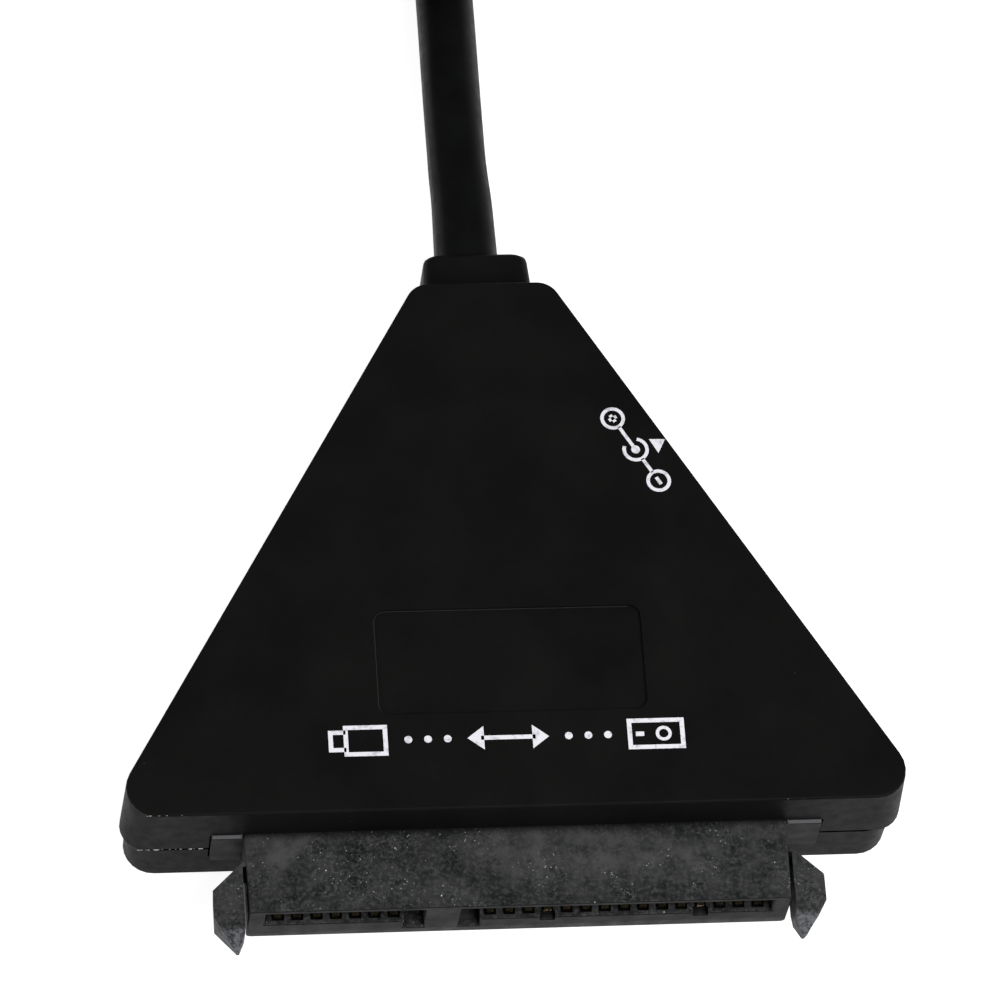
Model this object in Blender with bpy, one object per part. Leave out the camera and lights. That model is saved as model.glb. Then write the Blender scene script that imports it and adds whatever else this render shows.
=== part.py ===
"""A flat drive adapter: two moulded shells round a 22-contact drive connector, a power jack and a cable.

The pieces are modelled with the front wall's outer face at Y = 0, the connector's mouth towards -Y and
the cable towards +Y. The empty that carries them moves the whole so that its origin is below its middle.
"""

import math

import bmesh
import bpy
from mathutils import Vector

# Clearances between pieces that meet
FIT_GAP = 0.00025
CONTACT_GAP = 0.00015
PARTING_GAP = 0.0002
WINDOW_GAP = 0.00013

# Contacts of the drive connector, in two rows with three empty places between them
CONTACT_PITCH = 0.00127
SIGNAL_CONTACTS = 7
POWER_CONTACTS = 15
EMPTY_PLACES = 3
CONTACT_WIDTH = 0.0005
CONTACT_THICKNESS = 0.0002
CONTACT_CROWN_RISE = 0.0006
CONTACT_SETBACK = 0.00042
CONTACT_TIP_LIFT = 0.00017
CONTACT_TIP_LENGTH = 0.0007
CONTACT_SLOPE_LENGTH = 0.0009
CONTACT_CROWN_HALF = 0.0006
CONTACT_FALL_END = 0.0009
CONTACT_FOOT_LENGTH = 0.0015
CHANNEL_DEPTH = 0.00045
CHANNEL_HEADROOM = 0.0003
CHANNEL_SETBACK = 0.0003
ROW_SPAN = CONTACT_PITCH * (SIGNAL_CONTACTS + POWER_CONTACTS + EMPTY_PLACES)

# Slots for the drive's two tongues, and the key leg at each slot's inner end
SLOT_END_INSET = 0.0009
SLOT_KEY_INSET = 0.00205
SLOT_BOTTOM = 0.00445
SLOT_TOP = 0.0063
SLOT_DEPTH = 0.0060
KEY_WIDTH = 0.0014
KEY_BOTTOM = 0.0033
SLOT_LEAD_IN = 0.0001
NOTCH_WIDTH = 0.0010
NOTCH_DEPTH = 0.0005
NOTCH_PLACES = (3, 11)
SLOT_SPAN_HALF = ROW_SPAN / 2 + SLOT_END_INSET

# Drive connector
BODY_END_WALL = 0.001225
BODY_BOTTOM = 0.0024
BODY_TOP = 0.00665
BODY_REACH = 0.00557
BODY_BACK = 0.0036
BODY_CHAMFER = 0.00007
BODY_DRAFT = 0.0001
BODY_CORNER_RADIUS = 0.0003
BODY_UNDERCUT = 0.0009
FLANGE_STEP = 0.00221
FLANGE_SHIFT = 0.00016
FLANGE_CORNER_RADIUS = 0.0001
FLANGE_BOTTOM = 0.0030
FLANGE_TOP = 0.00642
FLANGE_PROUD = 0.00024
PLATE_STEP = 0.00109
PLATE_BOTTOM = 0.00165
PLATE_TOP = 0.0074
PLATE_THICKNESS = 0.00125
BODY_HALF_WIDTH = SLOT_SPAN_HALF + BODY_END_WALL
FLANGE_HALF_WIDTH = BODY_HALF_WIDTH + FLANGE_STEP
PLATE_HALF_WIDTH = FLANGE_HALF_WIDTH + PLATE_STEP

# Guide arms on both sides of the connector
ARM_GROOVE = 0.00015
ARM_WIDTH = 0.00203
ARM_DRAFT = 0.00014
ARM_BOTTOM = 0.0036
ARM_TOP = 0.00645
ARM_ROOT = 0.0019
ARM_SPLIT = 0.0021
ARM_SHOULDER = 0.00385
ARM_NOSE_START = 0.0057
ARM_TAPER_START = 0.00665
ARM_REACH = 0.00772
ARM_TIP_WIDTH = 0.0003
ARM_TIP_HEIGHT = 0.0007
ARM_TIP_INSET = 0.0004

# Power jack, set in a notch of the board behind the slanted right wall
JACK_BORE_RADIUS = 0.00285
JACK_BORE_DEPTH = 0.0095
JACK_WALL = 0.0004
JACK_LENGTH = 0.0115
JACK_WIDTH = 0.0082
JACK_SEAT_GAP = 0.00035
JACK_OPENING_GAP = 0.00025
JACK_PIN_RADIUS = 0.00105
JACK_PIN_LENGTH = 0.0085
JACK_SPRING_WIDTH = 0.0016
JACK_SPRING_THICKNESS = 0.0003
JACK_SPRING_TO_PIN = 0.00057
JACK_SPRING_BENDS = (0.0, 0.0019, 0.0038, 0.00475, 0.0057)
JACK_SPRING_SLOT_LENGTH = 0.0063
JACK_CORNER_RADIUS = 0.0008
JACK_PLACE = 0.0250
JACK_HEIGHT = 2 * (JACK_BORE_RADIUS + JACK_WALL)

# Housing, whose plan is a trapezoid with round corners; its height and length are what the jack needs
LENGTH_BEHIND_JACK = 0.01386
FRONT_SHOULDER = 0.00596
BACK_HALF_WIDTH = 0.00464
FRONT_CORNER_RADIUS = 0.0021
PARTING_CORNER_RADIUS = 0.0017
BACK_CORNER_RADIUS = 0.0016
WALL = 0.0015
FLOOR_THICKNESS = 0.0014
CEILING_THICKNESS = 0.0014
PARTING_HEIGHT = 0.0043
LOWER_STEP = 0.0001
TOP_EDGE_ROUND = 0.00016
BOTTOM_EDGE_ROUND = 0.0002
LIP_HEIGHT = 0.0009
LIP_THICKNESS = 0.0006
ARC_STEPS = 8
FRONT_HALF_WIDTH = PLATE_HALF_WIDTH + FRONT_SHOULDER
HOUSING_LENGTH = JACK_PLACE + LENGTH_BEHIND_JACK
HOUSING_HEIGHT = FLOOR_THICKNESS + JACK_HEIGHT + 2 * JACK_SEAT_GAP + CEILING_THICKNESS
AXIS_HEIGHT = FLOOR_THICKNESS + JACK_SEAT_GAP + JACK_HEIGHT / 2

# Shallow field in the top face
FIELD_FRONT = 0.0068
FIELD_LENGTH = 0.0076
FIELD_HALF_WIDTH = 0.00892
FIELD_CORNER_RADIUS = 0.0008
FIELD_DEPTH = 0.0002

# Circuit board, on bosses of the lower shell
BOARD_THICKNESS = 0.0010
BOARD_UNDERSIDE = 0.0026
BOARD_FRONT = 0.0047
BOARD_BACK_ROOM = 0.00786
BOARD_EDGE_GAP = 0.0004
BOARD_CORNER_RADIUS = 0.0008
BOSS_RADIUS = 0.0019
PIN_RADIUS = 0.0008
PIN_RISE = 0.0020
FRONT_BOSS_Y = 0.0086
REAR_BOSS_TO_JACK = 0.0028
FRONT_BOSS_INSET = 0.0021
REAR_BOSS_INSET = 0.0035

# Cable gland
CABLE_DIAMETER = 0.0041
GLAND_WIDTH = 0.0076
GLAND_HEIGHT = 0.0056
GLAND_REACH = 0.0034
GLAND_CORNER_RADIUS = 0.0009
GLAND_TAPER = 0.0004
GLAND_EDGE_ROUND = 0.0005
NECK_WIDTH = 0.0048
NECK_HEIGHT = 0.0036
NECK_CORNER_RADIUS = 0.0012
COLLAR_WIDTH = 0.0062
COLLAR_HEIGHT = 0.0048
COLLAR_LENGTH = 0.0016
SLEEVE_SHIFT = 0.0004
SLEEVE_LENGTH = 0.0050
SLEEVE_ROOT_DIAMETER = 0.0044
SLEEVE_END_DIAMETER = 0.00422

# The route of the cable where it isn't coiled, as X, Y and Z of hand-chosen points
ROUTE_OUT = (
    (-0.00042, 0.0478, 0.0050),
    (-0.00053, 0.0505, 0.0050),
    (-0.00054, 0.0545, 0.00475),
    (-0.00048, 0.0588, 0.00415),
    (-0.00038, 0.0630, 0.0033),
    (-0.00032, 0.0675, 0.0026),
    (-0.0003, 0.0720, 0.0023),
    (-0.0003, 0.0765, 0.0024),
    (-0.0003, 0.0802, 0.0026),
)
ROUTE_BACK = (
    (-0.0103, 0.07012, 0.00707),
    (-0.0050, 0.07012, 0.00706),
    (-0.0003, 0.07015, 0.00695),
    (0.0045, 0.0708, 0.0064),
    (0.0095, 0.0732, 0.0056),
    (0.0132, 0.0772, 0.0050),
    (0.0154, 0.0820, 0.0045),
    (0.0160, 0.0870, 0.0041),
    (0.0160, 0.0910, 0.0040),
)
SAMPLE_STEP = 0.0040
CURVE_STEPS = 8
WIRE_EASE = 0.1

# The coil of the length that is put away, and its tie
COIL_CENTRE = (-0.025175, 0.0950)
COIL_RADIUS = 0.0228
COIL_HALF_SECTION = 0.004125
COIL_UNDERSIDE = 0.00087
COIL_CORNER_RADIUS = 0.0019
COIL_STEPS = 44
TIE_ANGLE = math.radians(180)
TIE_WIDTH = 0.0040
TIE_THICKNESS = 0.00055
TIE_GAP = 0.0003

# Plug at the far end, lying flat
PLUG_X = 0.0160
PLUG_BACK = 0.0913
PLUG_AXIS_HEIGHT = 0.0040
BOOT_LENGTH = 0.0057
BOOT_END_DIAMETER = 0.0046
BOOT_ROOT_DIAMETER = 0.0060
GRIP_WIDTH = 0.0158
GRIP_HEIGHT = 0.0078
GRIP_LENGTH = 0.0200
GRIP_CORNER_RADIUS = 0.0014
SOCKET_DEPTH = 0.0060
SHELL_WIDTH = 0.0120
SHELL_HEIGHT = 0.0045
SHELL_WALL = 0.0003
SHELL_REACH = 0.0119
SHELL_CORNER_RADIUS = 0.0006
LATCH_HOLE_WIDTH = 0.0021
LATCH_HOLE_LENGTH = 0.0024
LATCH_HOLE_X = 0.0030
LATCH_HOLE_SETBACK = 0.0052
TONGUE_THICKNESS = 0.0017
TONGUE_SETBACK = 0.0006
TONGUE_BACK_LENGTH = 0.0030
PLUG_CONTACT_WIDTH = 0.0010
PLUG_CONTACT_LENGTH = 0.0062
PLUG_CONTACT_X = (-0.0035, -0.0010, 0.0010, 0.0035)
REAR_CONTACT_WIDTH = 0.0006
REAR_CONTACT_LENGTH = 0.0020
REAR_CONTACT_X = (-0.0040, -0.0020, 0.0, 0.0020, 0.0040)
PLUG_CONTACT_THICKNESS = 0.00025

# Values that follow from the sizes above
SIDE_SLOPE = (FRONT_HALF_WIDTH - BACK_HALF_WIDTH) / HOUSING_LENGTH
SIDE_COSINE = 1.0 / math.hypot(1.0, SIDE_SLOPE)
SIDE_SINE = SIDE_SLOPE * SIDE_COSINE
BOARD_TOP = BOARD_UNDERSIDE + BOARD_THICKNESS
BOARD_BACK = HOUSING_LENGTH - BOARD_BACK_ROOM
REAR_BOSS_Y = JACK_PLACE - REAR_BOSS_TO_JACK
CEILING = HOUSING_HEIGHT - CEILING_THICKNESS
GLAND_BACK = HOUSING_LENGTH + FIT_GAP + GLAND_REACH + SLEEVE_LENGTH
CENTRE_Y = (GLAND_BACK - ARM_REACH) / 2
BEYOND = 0.002

# Electronic parts: name, X, Y, width, length, height, material name. Near the front edge
FRONT_PARTS = (("capacitor_1", 0.0015, 0.0095, 0.0012, 0.0025, 0.0012, "ceramic"),)

# With Y counted from the rear boss
REAR_PARTS = (
    ("bridge_chip", -0.0060, -0.0072, 0.0070, 0.0070, 0.0010, "chip_black"),
    ("crystal", -0.0125, -0.0087, 0.0025, 0.0032, 0.0008, "bright_metal"),
    ("inductor", 0.0060, -0.0116, 0.0032, 0.0032, 0.0020, "ferrite"),
)

# With X counted from the middle between the rear boss and the jack, and Y from the rear boss
BETWEEN_PARTS = (("memory_chip", 0.0, 0.0024, 0.0030, 0.0040, 0.0015, "chip_black"),)

# With X counted from the board's right edge
EDGE_PARTS = (
    ("voltage_regulator", -0.0077, 0.0100, 0.0035, 0.0030, 0.0012, "chip_black"),
    ("capacitor_2", -0.0027, 0.0135, 0.0032, 0.0016, 0.0016, "ceramic"),
)

# Inner conductors from the gland to the board: name, X, diameter, material name
INNER_WIRES = (
    ("ground_wire", -0.00232, 0.0009, "wire_black"),
    ("transmit_pair", -0.00116, 0.0009, "wire_blue"),
    ("data_pair", 0.0, 0.0009, "wire_white"),
    ("receive_pair", 0.00116, 0.0009, "wire_green"),
    ("supply_wire", 0.00232, 0.0009, "wire_red"),
)

# Base colour, roughness and metallic value of each material
LOOKS = {
    "housing_black": ((0.012, 0.012, 0.012), 0.45, 0.0),
    "connector_grey": ((0.035, 0.036, 0.036), 0.5, 0.0),
    "contact_gold": ((0.83, 0.64, 0.32), 0.3, 1.0),
    "board_green": ((0.02, 0.13, 0.05), 0.45, 0.0),
    "chip_black": ((0.02, 0.02, 0.02), 0.5, 0.0),
    "ferrite": ((0.06, 0.06, 0.065), 0.6, 0.0),
    "ceramic": ((0.45, 0.33, 0.20), 0.4, 0.0),
    "bright_metal": ((0.62, 0.62, 0.63), 0.28, 1.0),
    "jack_black": ((0.015, 0.015, 0.015), 0.5, 0.0),
    "rubber_black": ((0.010, 0.010, 0.010), 0.6, 0.0),
    "cable_black": ((0.010, 0.011, 0.010), 0.5, 0.0),
    "tie_black": ((0.02, 0.02, 0.02), 0.55, 0.0),
    "tongue_blue": ((0.02, 0.12, 0.42), 0.4, 0.0),
    "wire_black": ((0.02, 0.02, 0.02), 0.5, 0.0),
    "wire_blue": ((0.03, 0.10, 0.40), 0.5, 0.0),
    "wire_white": ((0.70, 0.70, 0.68), 0.5, 0.0),
    "wire_green": ((0.03, 0.28, 0.08), 0.5, 0.0),
    "wire_red": ((0.45, 0.03, 0.02), 0.5, 0.0),
}


def clear_scene():
    for obj in list(bpy.data.objects):
        bpy.data.objects.remove(obj)


def make_carrier():
    """The empty that every piece hangs on."""
    carrier = bpy.data.objects.new("adapter", None)
    carrier.location = (0, -CENTRE_Y, 0)
    bpy.context.collection.objects.link(carrier)
    return carrier


def look(name):
    """The material of this name, made at its first use."""
    found = bpy.data.materials.get(name)
    if found:
        return found
    colour, roughness, metallic = LOOKS[name]
    made = bpy.data.materials.new(name)
    made.use_nodes = True
    shader = made.node_tree.nodes["Principled BSDF"]
    shader.inputs["Base Color"].default_value = (*colour, 1)
    shader.inputs["Roughness"].default_value = roughness
    shader.inputs["Metallic"].default_value = metallic
    made.diffuse_color = (*colour, 1)
    return made


def add(name, data, finish, place=(0, 0, 0)):
    """An object with this mesh or curve, on the carrier."""
    obj = bpy.data.objects.new(name, data)
    if not data.materials:
        data.materials.append(look(finish))
    obj.location = place
    obj.parent = bpy.data.objects["adapter"]
    bpy.context.collection.objects.link(obj)
    return obj


def rounded(corners, radii, steps=ARC_STEPS):
    """The outline through these corners, each turned into an arc of its own radius."""
    outline = []
    count = len(corners)
    for i, radius in enumerate(radii):
        before, corner, after = (Vector(corners[(i + k) % count]) for k in (-1, 0, 1))
        if radius <= 0:
            outline.append(tuple(corner))
            continue
        towards = (before - corner).normalized()
        away = (after - corner).normalized()
        half_angle = towards.angle(away) / 2
        centre = corner + (towards + away).normalized() * radius / math.sin(half_angle)
        first = corner + towards * radius / math.tan(half_angle) - centre
        last = corner + away * radius / math.tan(half_angle) - centre
        turn = first.angle_signed(last)
        for k in range(steps + 1):
            angle = turn * k / steps
            x = first.x * math.cos(angle) + first.y * math.sin(angle)
            y = first.y * math.cos(angle) - first.x * math.sin(angle)
            outline.append((centre.x + x, centre.y + y))
    return outline


def rounded_rectangle(width, height, radius, centre=(0, 0), steps=3):
    x, y = width / 2, height / 2
    corners = [(x, -y), (x, y), (-x, y), (-x, -y)]
    outline = rounded(corners, [min(radius, 0.499 * min(width, height))] * 4, steps)
    return [(u + centre[0], v + centre[1]) for u, v in outline]


def grown(outline, distance):
    """The outline, drawn anticlockwise, moved outwards by a distance with its corners kept sharp."""
    moved = []
    count = len(outline)
    for i in range(count):
        before, corner, after = (Vector(outline[(i + k) % count]) for k in (-1, 0, 1))
        a = (corner - before).normalized()
        b = (after - corner).normalized()
        first = Vector((a.y, -a.x))
        second = Vector((b.y, -b.x))
        moved.append(tuple(corner + (first + second) * distance / (1 + first.dot(second))))
    return moved


def at_height(outline, z):
    return [(x, y, z) for x, y in outline]


def at_depth(outline, y):
    return [(x, y, z) for x, z in outline]


def loft_mesh(name, rings, closed=False):
    """A mesh that joins each ring of points to the next, with end caps, or back to the first ring."""
    shape = bmesh.new()
    rows = [[shape.verts.new(point) for point in ring] for ring in rings]
    pairs = list(zip(rows, rows[1:]))
    if closed:
        pairs.append((rows[-1], rows[0]))
    for row, following in pairs:
        for i in range(len(row)):
            j = (i + 1) % len(row)
            shape.faces.new((row[i], row[j], following[j], following[i]))
    if not closed:
        shape.faces.new(rows[0])
        shape.faces.new(rows[-1])
    bmesh.ops.recalc_face_normals(shape, faces=shape.faces)
    mesh = bpy.data.meshes.new(name)
    shape.to_mesh(mesh)
    shape.free()
    mesh.shade_smooth()
    mesh.set_sharp_from_angle(angle=math.radians(35))
    return mesh


def loft(name, rings, finish, closed=False):
    return add(name, loft_mesh(name, rings, closed), finish)


def block(name, x0, x1, y0, y1, z0, z1, finish):
    outline = [(x0, y0), (x1, y0), (x1, y1), (x0, y1)]
    return loft(name, [at_height(outline, z0), at_height(outline, z1)], finish)


def post(name, x, y, radius, z0, z1, finish):
    outline = circle(radius, (x, y))
    return loft(name, [at_height(outline, z0), at_height(outline, z1)], finish)


def circle(radius, centre=(0, 0), steps=24):
    angles = [2 * math.pi * k / steps for k in range(steps)]
    return [(centre[0] + radius * math.cos(a), centre[1] + radius * math.sin(a)) for a in angles]


def helper(obj):
    obj.hide_render = True
    obj.display_type = "WIRE"
    return obj


def combine(target, other, operation):
    helper(other)
    step = target.modifiers.new(f"{operation.lower()} {other.name}", "BOOLEAN")
    step.operation = operation
    step.solver = "EXACT"
    step.object = other


def cut(target, cutter):
    combine(target, cutter, "DIFFERENCE")


def join(target, other):
    combine(target, other, "UNION")


def side_x(y, inset=0.0):
    """How far from the middle the side wall lies at this Y, measured inwards by the inset."""
    return FRONT_HALF_WIDTH - SIDE_SLOPE * y - inset / SIDE_COSINE


def housing_plan(inset=0.0, front=None, back=None, radius=None, front_radius=FRONT_CORNER_RADIUS):
    """The housing's plan outline moved inwards, or cut off at another front and back."""
    front = inset if front is None else front
    back = HOUSING_LENGTH - inset if back is None else back
    wide, narrow = side_x(front, inset), side_x(back, inset)
    corners = [(-wide, front), (wide, front), (narrow, back), (-narrow, back)]
    smallest = 0.0003
    near = max(front_radius - inset, smallest) if radius is None else radius
    far = max(BACK_CORNER_RADIUS - inset, smallest) if radius is None else radius
    return rounded(corners, [near, near, far, far])


def board_edge(y):
    """X of the circuit board's right edge at this Y."""
    return side_x(y, WALL + BOARD_EDGE_GAP)


def boss_places():
    """The board's three bosses, each at its own distance inside the board's edge."""
    front = board_edge(FRONT_BOSS_Y) - FRONT_BOSS_INSET
    rear = board_edge(REAR_BOSS_Y) - REAR_BOSS_INSET
    return (-front, FRONT_BOSS_Y), (front, FRONT_BOSS_Y), (-rear, REAR_BOSS_Y)


def edge_round(radius, height, direction, step_in=0.0, steps=3):
    """Rings of the housing's plan from its upright side over a round edge to the flat at this height."""
    rings = []
    for k in range(steps + 1):
        angle = math.pi / 2 * k / steps
        inset = radius * (1 - math.cos(angle))
        z = height - direction * radius * (1 - math.sin(angle))
        rings.append(at_height(housing_plan(step_in + inset), z))
    return rings


def housing_openings():
    """Cutters for what passes through the walls of both shells."""
    wall_back = WALL + FIT_GAP
    flange_half = FLANGE_HALF_WIDTH + WINDOW_GAP
    flange_window = block("flange_window", FLANGE_SHIFT - flange_half, FLANGE_SHIFT + flange_half, -BEYOND,
                          wall_back, FLANGE_BOTTOM - WINDOW_GAP, FLANGE_TOP + WINDOW_GAP, "housing_black")
    body_half = BODY_HALF_WIDTH + WINDOW_GAP
    body_window = block("body_window", -body_half, body_half, -BEYOND, wall_back,
                        BODY_BOTTOM - WINDOW_GAP, BODY_TOP + WINDOW_GAP, "housing_black")
    neck = rounded_rectangle(NECK_WIDTH + 2 * FIT_GAP, NECK_HEIGHT + 2 * FIT_GAP,
                             NECK_CORNER_RADIUS + FIT_GAP, (0, AXIS_HEIGHT))
    inner_end = HOUSING_LENGTH - WALL - FIT_GAP
    gland_hole = loft("gland_cutter", [at_depth(neck, inner_end), at_depth(neck, HOUSING_LENGTH + BEYOND)],
                      "housing_black")
    jack_hole = along_jack("jack_hole_cutter", circle(JACK_BORE_RADIUS + JACK_OPENING_GAP), -BEYOND,
                           wall_back, "housing_black")
    return [helper(cutter) for cutter in (flange_window, body_window, gland_hole, jack_hole)]


def jack_point(inwards, across, z):
    """A point of the jack: inwards from the slanted wall's outer face, and across the jack's axis."""
    wall_x = side_x(JACK_PLACE)
    x = wall_x - inwards * SIDE_COSINE - across * SIDE_SINE
    y = JACK_PLACE - inwards * SIDE_SINE + across * SIDE_COSINE
    return (x, y, z)


def along_jack(name, outline, start, end, finish):
    """A bar along the jack's axis, whose outline is given across and up from that axis."""
    rings = [[jack_point(d, u, AXIS_HEIGHT + v) for u, v in outline] for d in (start, end)]
    return loft(name, rings, finish)


def make_lower_shell(openings):
    bottom = edge_round(BOTTOM_EDGE_ROUND, 0.0, -1, LOWER_STEP)[::-1]
    shell = loft("lower_shell", bottom + [at_height(housing_plan(LOWER_STEP), PARTING_HEIGHT)],
                 "housing_black")
    lip_plan = housing_plan(WALL - LIP_THICKNESS)
    lip = loft("lip", [at_height(lip_plan, PARTING_HEIGHT - LIP_HEIGHT),
                       at_height(lip_plan, PARTING_HEIGHT + LIP_HEIGHT)], "housing_black")
    join(shell, lip)
    hollow_plan = housing_plan(WALL)
    hollow = loft("lower_hollow", [at_height(hollow_plan, FLOOR_THICKNESS),
                                   at_height(hollow_plan, PARTING_HEIGHT + BEYOND)], "housing_black")
    cut(shell, hollow)
    rooted = FLOOR_THICKNESS / 2
    for i, (x, y) in enumerate(boss_places()):
        join(shell, post(f"board_boss_{i}", x, y, BOSS_RADIUS, rooted, BOARD_UNDERSIDE - FIT_GAP,
                         "housing_black"))
        join(shell, post(f"board_pin_{i}", x, y, PIN_RADIUS, rooted, BOARD_TOP + PIN_RISE,
                         "housing_black"))
    rib_front = WALL + FIT_GAP + PLATE_THICKNESS + FIT_GAP
    for side in (-1, 1):
        inner, outer = sorted((side * (BODY_HALF_WIDTH + 2 * FIT_GAP), side * PLATE_HALF_WIDTH))
        join(shell, block(f"connector_rib_{side}", inner, outer, rib_front, BOARD_FRONT - FIT_GAP,
                          rooted, PARTING_HEIGHT, "housing_black"))
    for opening in openings:
        cut(shell, opening)


def make_upper_shell(openings):
    top = edge_round(TOP_EDGE_ROUND, HOUSING_HEIGHT, 1)
    base = PARTING_HEIGHT + PARTING_GAP
    foot = housing_plan(front_radius=PARTING_CORNER_RADIUS)
    shell = loft("upper_shell", [at_height(foot, base)] + top, "housing_black")
    hollow_plan = housing_plan(WALL)
    hollow = loft("upper_hollow", [at_height(hollow_plan, base - BEYOND),
                                   at_height(hollow_plan, CEILING)], "housing_black")
    cut(shell, hollow)
    rebate_plan = housing_plan(WALL - LIP_THICKNESS - FIT_GAP)
    rebate = loft("lip_rebate", [at_height(rebate_plan, base - BEYOND),
                                 at_height(rebate_plan, PARTING_HEIGHT + LIP_HEIGHT + FIT_GAP)],
                  "housing_black")
    cut(shell, rebate)
    for i, (x, y) in enumerate(boss_places()):
        join(shell, post(f"cap_boss_{i}", x, y, BOSS_RADIUS, BOARD_TOP + FIT_GAP,
                         CEILING + CEILING_THICKNESS / 2, "housing_black"))
        cut(shell, post(f"pin_socket_{i}", x, y, PIN_RADIUS + FIT_GAP, BOARD_TOP,
                        BOARD_TOP + PIN_RISE + FIT_GAP, "housing_black"))
    for opening in openings:
        cut(shell, opening)
    field = rounded_rectangle(2 * FIELD_HALF_WIDTH, FIELD_LENGTH, FIELD_CORNER_RADIUS,
                              (0, FIELD_FRONT + FIELD_LENGTH / 2), ARC_STEPS)
    cut(shell, loft("field_cutter", [at_height(field, HOUSING_HEIGHT - FIELD_DEPTH),
                                     at_height(field, HOUSING_HEIGHT + BEYOND)], "housing_black"))


def slot_outline(x0, x1, key_at_right):
    """A slot seen from its mouth, drawn anticlockwise: a flat bar with a key leg down from one end."""
    if key_at_right:
        leg = [(x1 - KEY_WIDTH, SLOT_BOTTOM), (x1 - KEY_WIDTH, KEY_BOTTOM), (x1, KEY_BOTTOM)]
        return [(x0, SLOT_BOTTOM)] + leg + [(x1, SLOT_TOP), (x0, SLOT_TOP)]
    leg = [(x0, KEY_BOTTOM), (x0 + KEY_WIDTH, KEY_BOTTOM), (x0 + KEY_WIDTH, SLOT_BOTTOM)]
    return leg + [(x1, SLOT_BOTTOM), (x1, SLOT_TOP), (x0, SLOT_TOP)]


def make_slot_cutter(name, outline):
    """The slot's space, which widens at the mouth except towards its thin upper lip."""
    mouth = -BODY_REACH
    widened = [(x, min(z, SLOT_TOP)) for x, z in grown(outline, 2 * SLOT_LEAD_IN)]
    rings = [
        at_depth(widened, mouth - SLOT_LEAD_IN),
        at_depth(outline, mouth + SLOT_LEAD_IN),
        at_depth(outline, mouth + SLOT_DEPTH),
    ]
    return loft(name, rings, "connector_grey")


def contact_positions():
    """X of each contact, the signal contacts first."""
    signal = [CONTACT_PITCH * k - ROW_SPAN / 2 for k in range(SIGNAL_CONTACTS)]
    power = [ROW_SPAN / 2 - CONTACT_PITCH * (POWER_CONTACTS - 1 - k) for k in range(POWER_CONTACTS)]
    return signal, power


def make_channel_cutter():
    """One mesh that holds a bar for each contact's channel through the connector."""
    shape = bmesh.new()
    half = CONTACT_WIDTH / 2 + CONTACT_GAP
    start, end = -BODY_REACH + CHANNEL_SETBACK, BODY_BACK + BEYOND
    low, high = SLOT_BOTTOM - CHANNEL_DEPTH, SLOT_BOTTOM + CHANNEL_HEADROOM
    for x in sum(contact_positions(), []):
        made = bmesh.ops.create_cube(shape, size=1.0)["verts"]
        bmesh.ops.scale(shape, verts=made, vec=(2 * half, end - start, high - low))
        bmesh.ops.translate(shape, verts=made, vec=(x, (start + end) / 2, (low + high) / 2))
    mesh = bpy.data.meshes.new("channel_cutter")
    shape.to_mesh(mesh)
    shape.free()
    return add("channel_cutter", mesh, "connector_grey")


def arm_rings(side):
    """Sections of a guide arm from its root on the connector's side to the tip of its faceted nose."""
    inner = BODY_HALF_WIDTH + ARM_GROOVE
    outer = inner + ARM_WIDTH
    embedded = BODY_HALF_WIDTH - 2 * ARM_GROOVE
    middle = (ARM_BOTTOM + ARM_TOP) / 2
    flare = ARM_WIDTH / (ARM_SHOULDER - ARM_ROOT)
    groove_end = ARM_SPLIT + ARM_GROOVE
    tip = inner + ARM_TIP_INSET
    share = (ARM_TAPER_START - ARM_NOSE_START) / (ARM_REACH - ARM_NOSE_START)
    tip_low, tip_high = middle - ARM_TIP_HEIGHT / 2, middle + ARM_TIP_HEIGHT / 2
    sections = [
        (ARM_ROOT, embedded, inner, ARM_BOTTOM, ARM_TOP),
        (ARM_SPLIT, embedded, inner + flare * (ARM_SPLIT - ARM_ROOT), ARM_BOTTOM, ARM_TOP),
        (groove_end, inner, inner + flare * (groove_end - ARM_ROOT), ARM_BOTTOM, ARM_TOP),
        (ARM_SHOULDER, inner, outer, ARM_BOTTOM, ARM_TOP),
        (ARM_NOSE_START, inner, outer, ARM_BOTTOM, ARM_TOP),
        (ARM_TAPER_START, inner, outer + share * (tip + ARM_TIP_WIDTH - outer),
         ARM_BOTTOM + share * (tip_low - ARM_BOTTOM), ARM_TOP + share * (tip_high - ARM_TOP)),
        (ARM_REACH, tip, tip + ARM_TIP_WIDTH, tip_low, tip_high),
    ]
    rings = []
    for y, a, b, low, high in sections:
        corners = [(a, low), (b - ARM_DRAFT, low), (b, high), (a, high)]
        rings.append([(side * x, -y, z) for x, z in corners])
    return rings


def box_ring(half_width, low, high, y, radius=BODY_CORNER_RADIUS, x=0.0):
    outline = rounded_rectangle(2 * half_width, high - low, radius, (x, (low + high) / 2), 2)
    return at_depth(outline, y)


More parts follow.
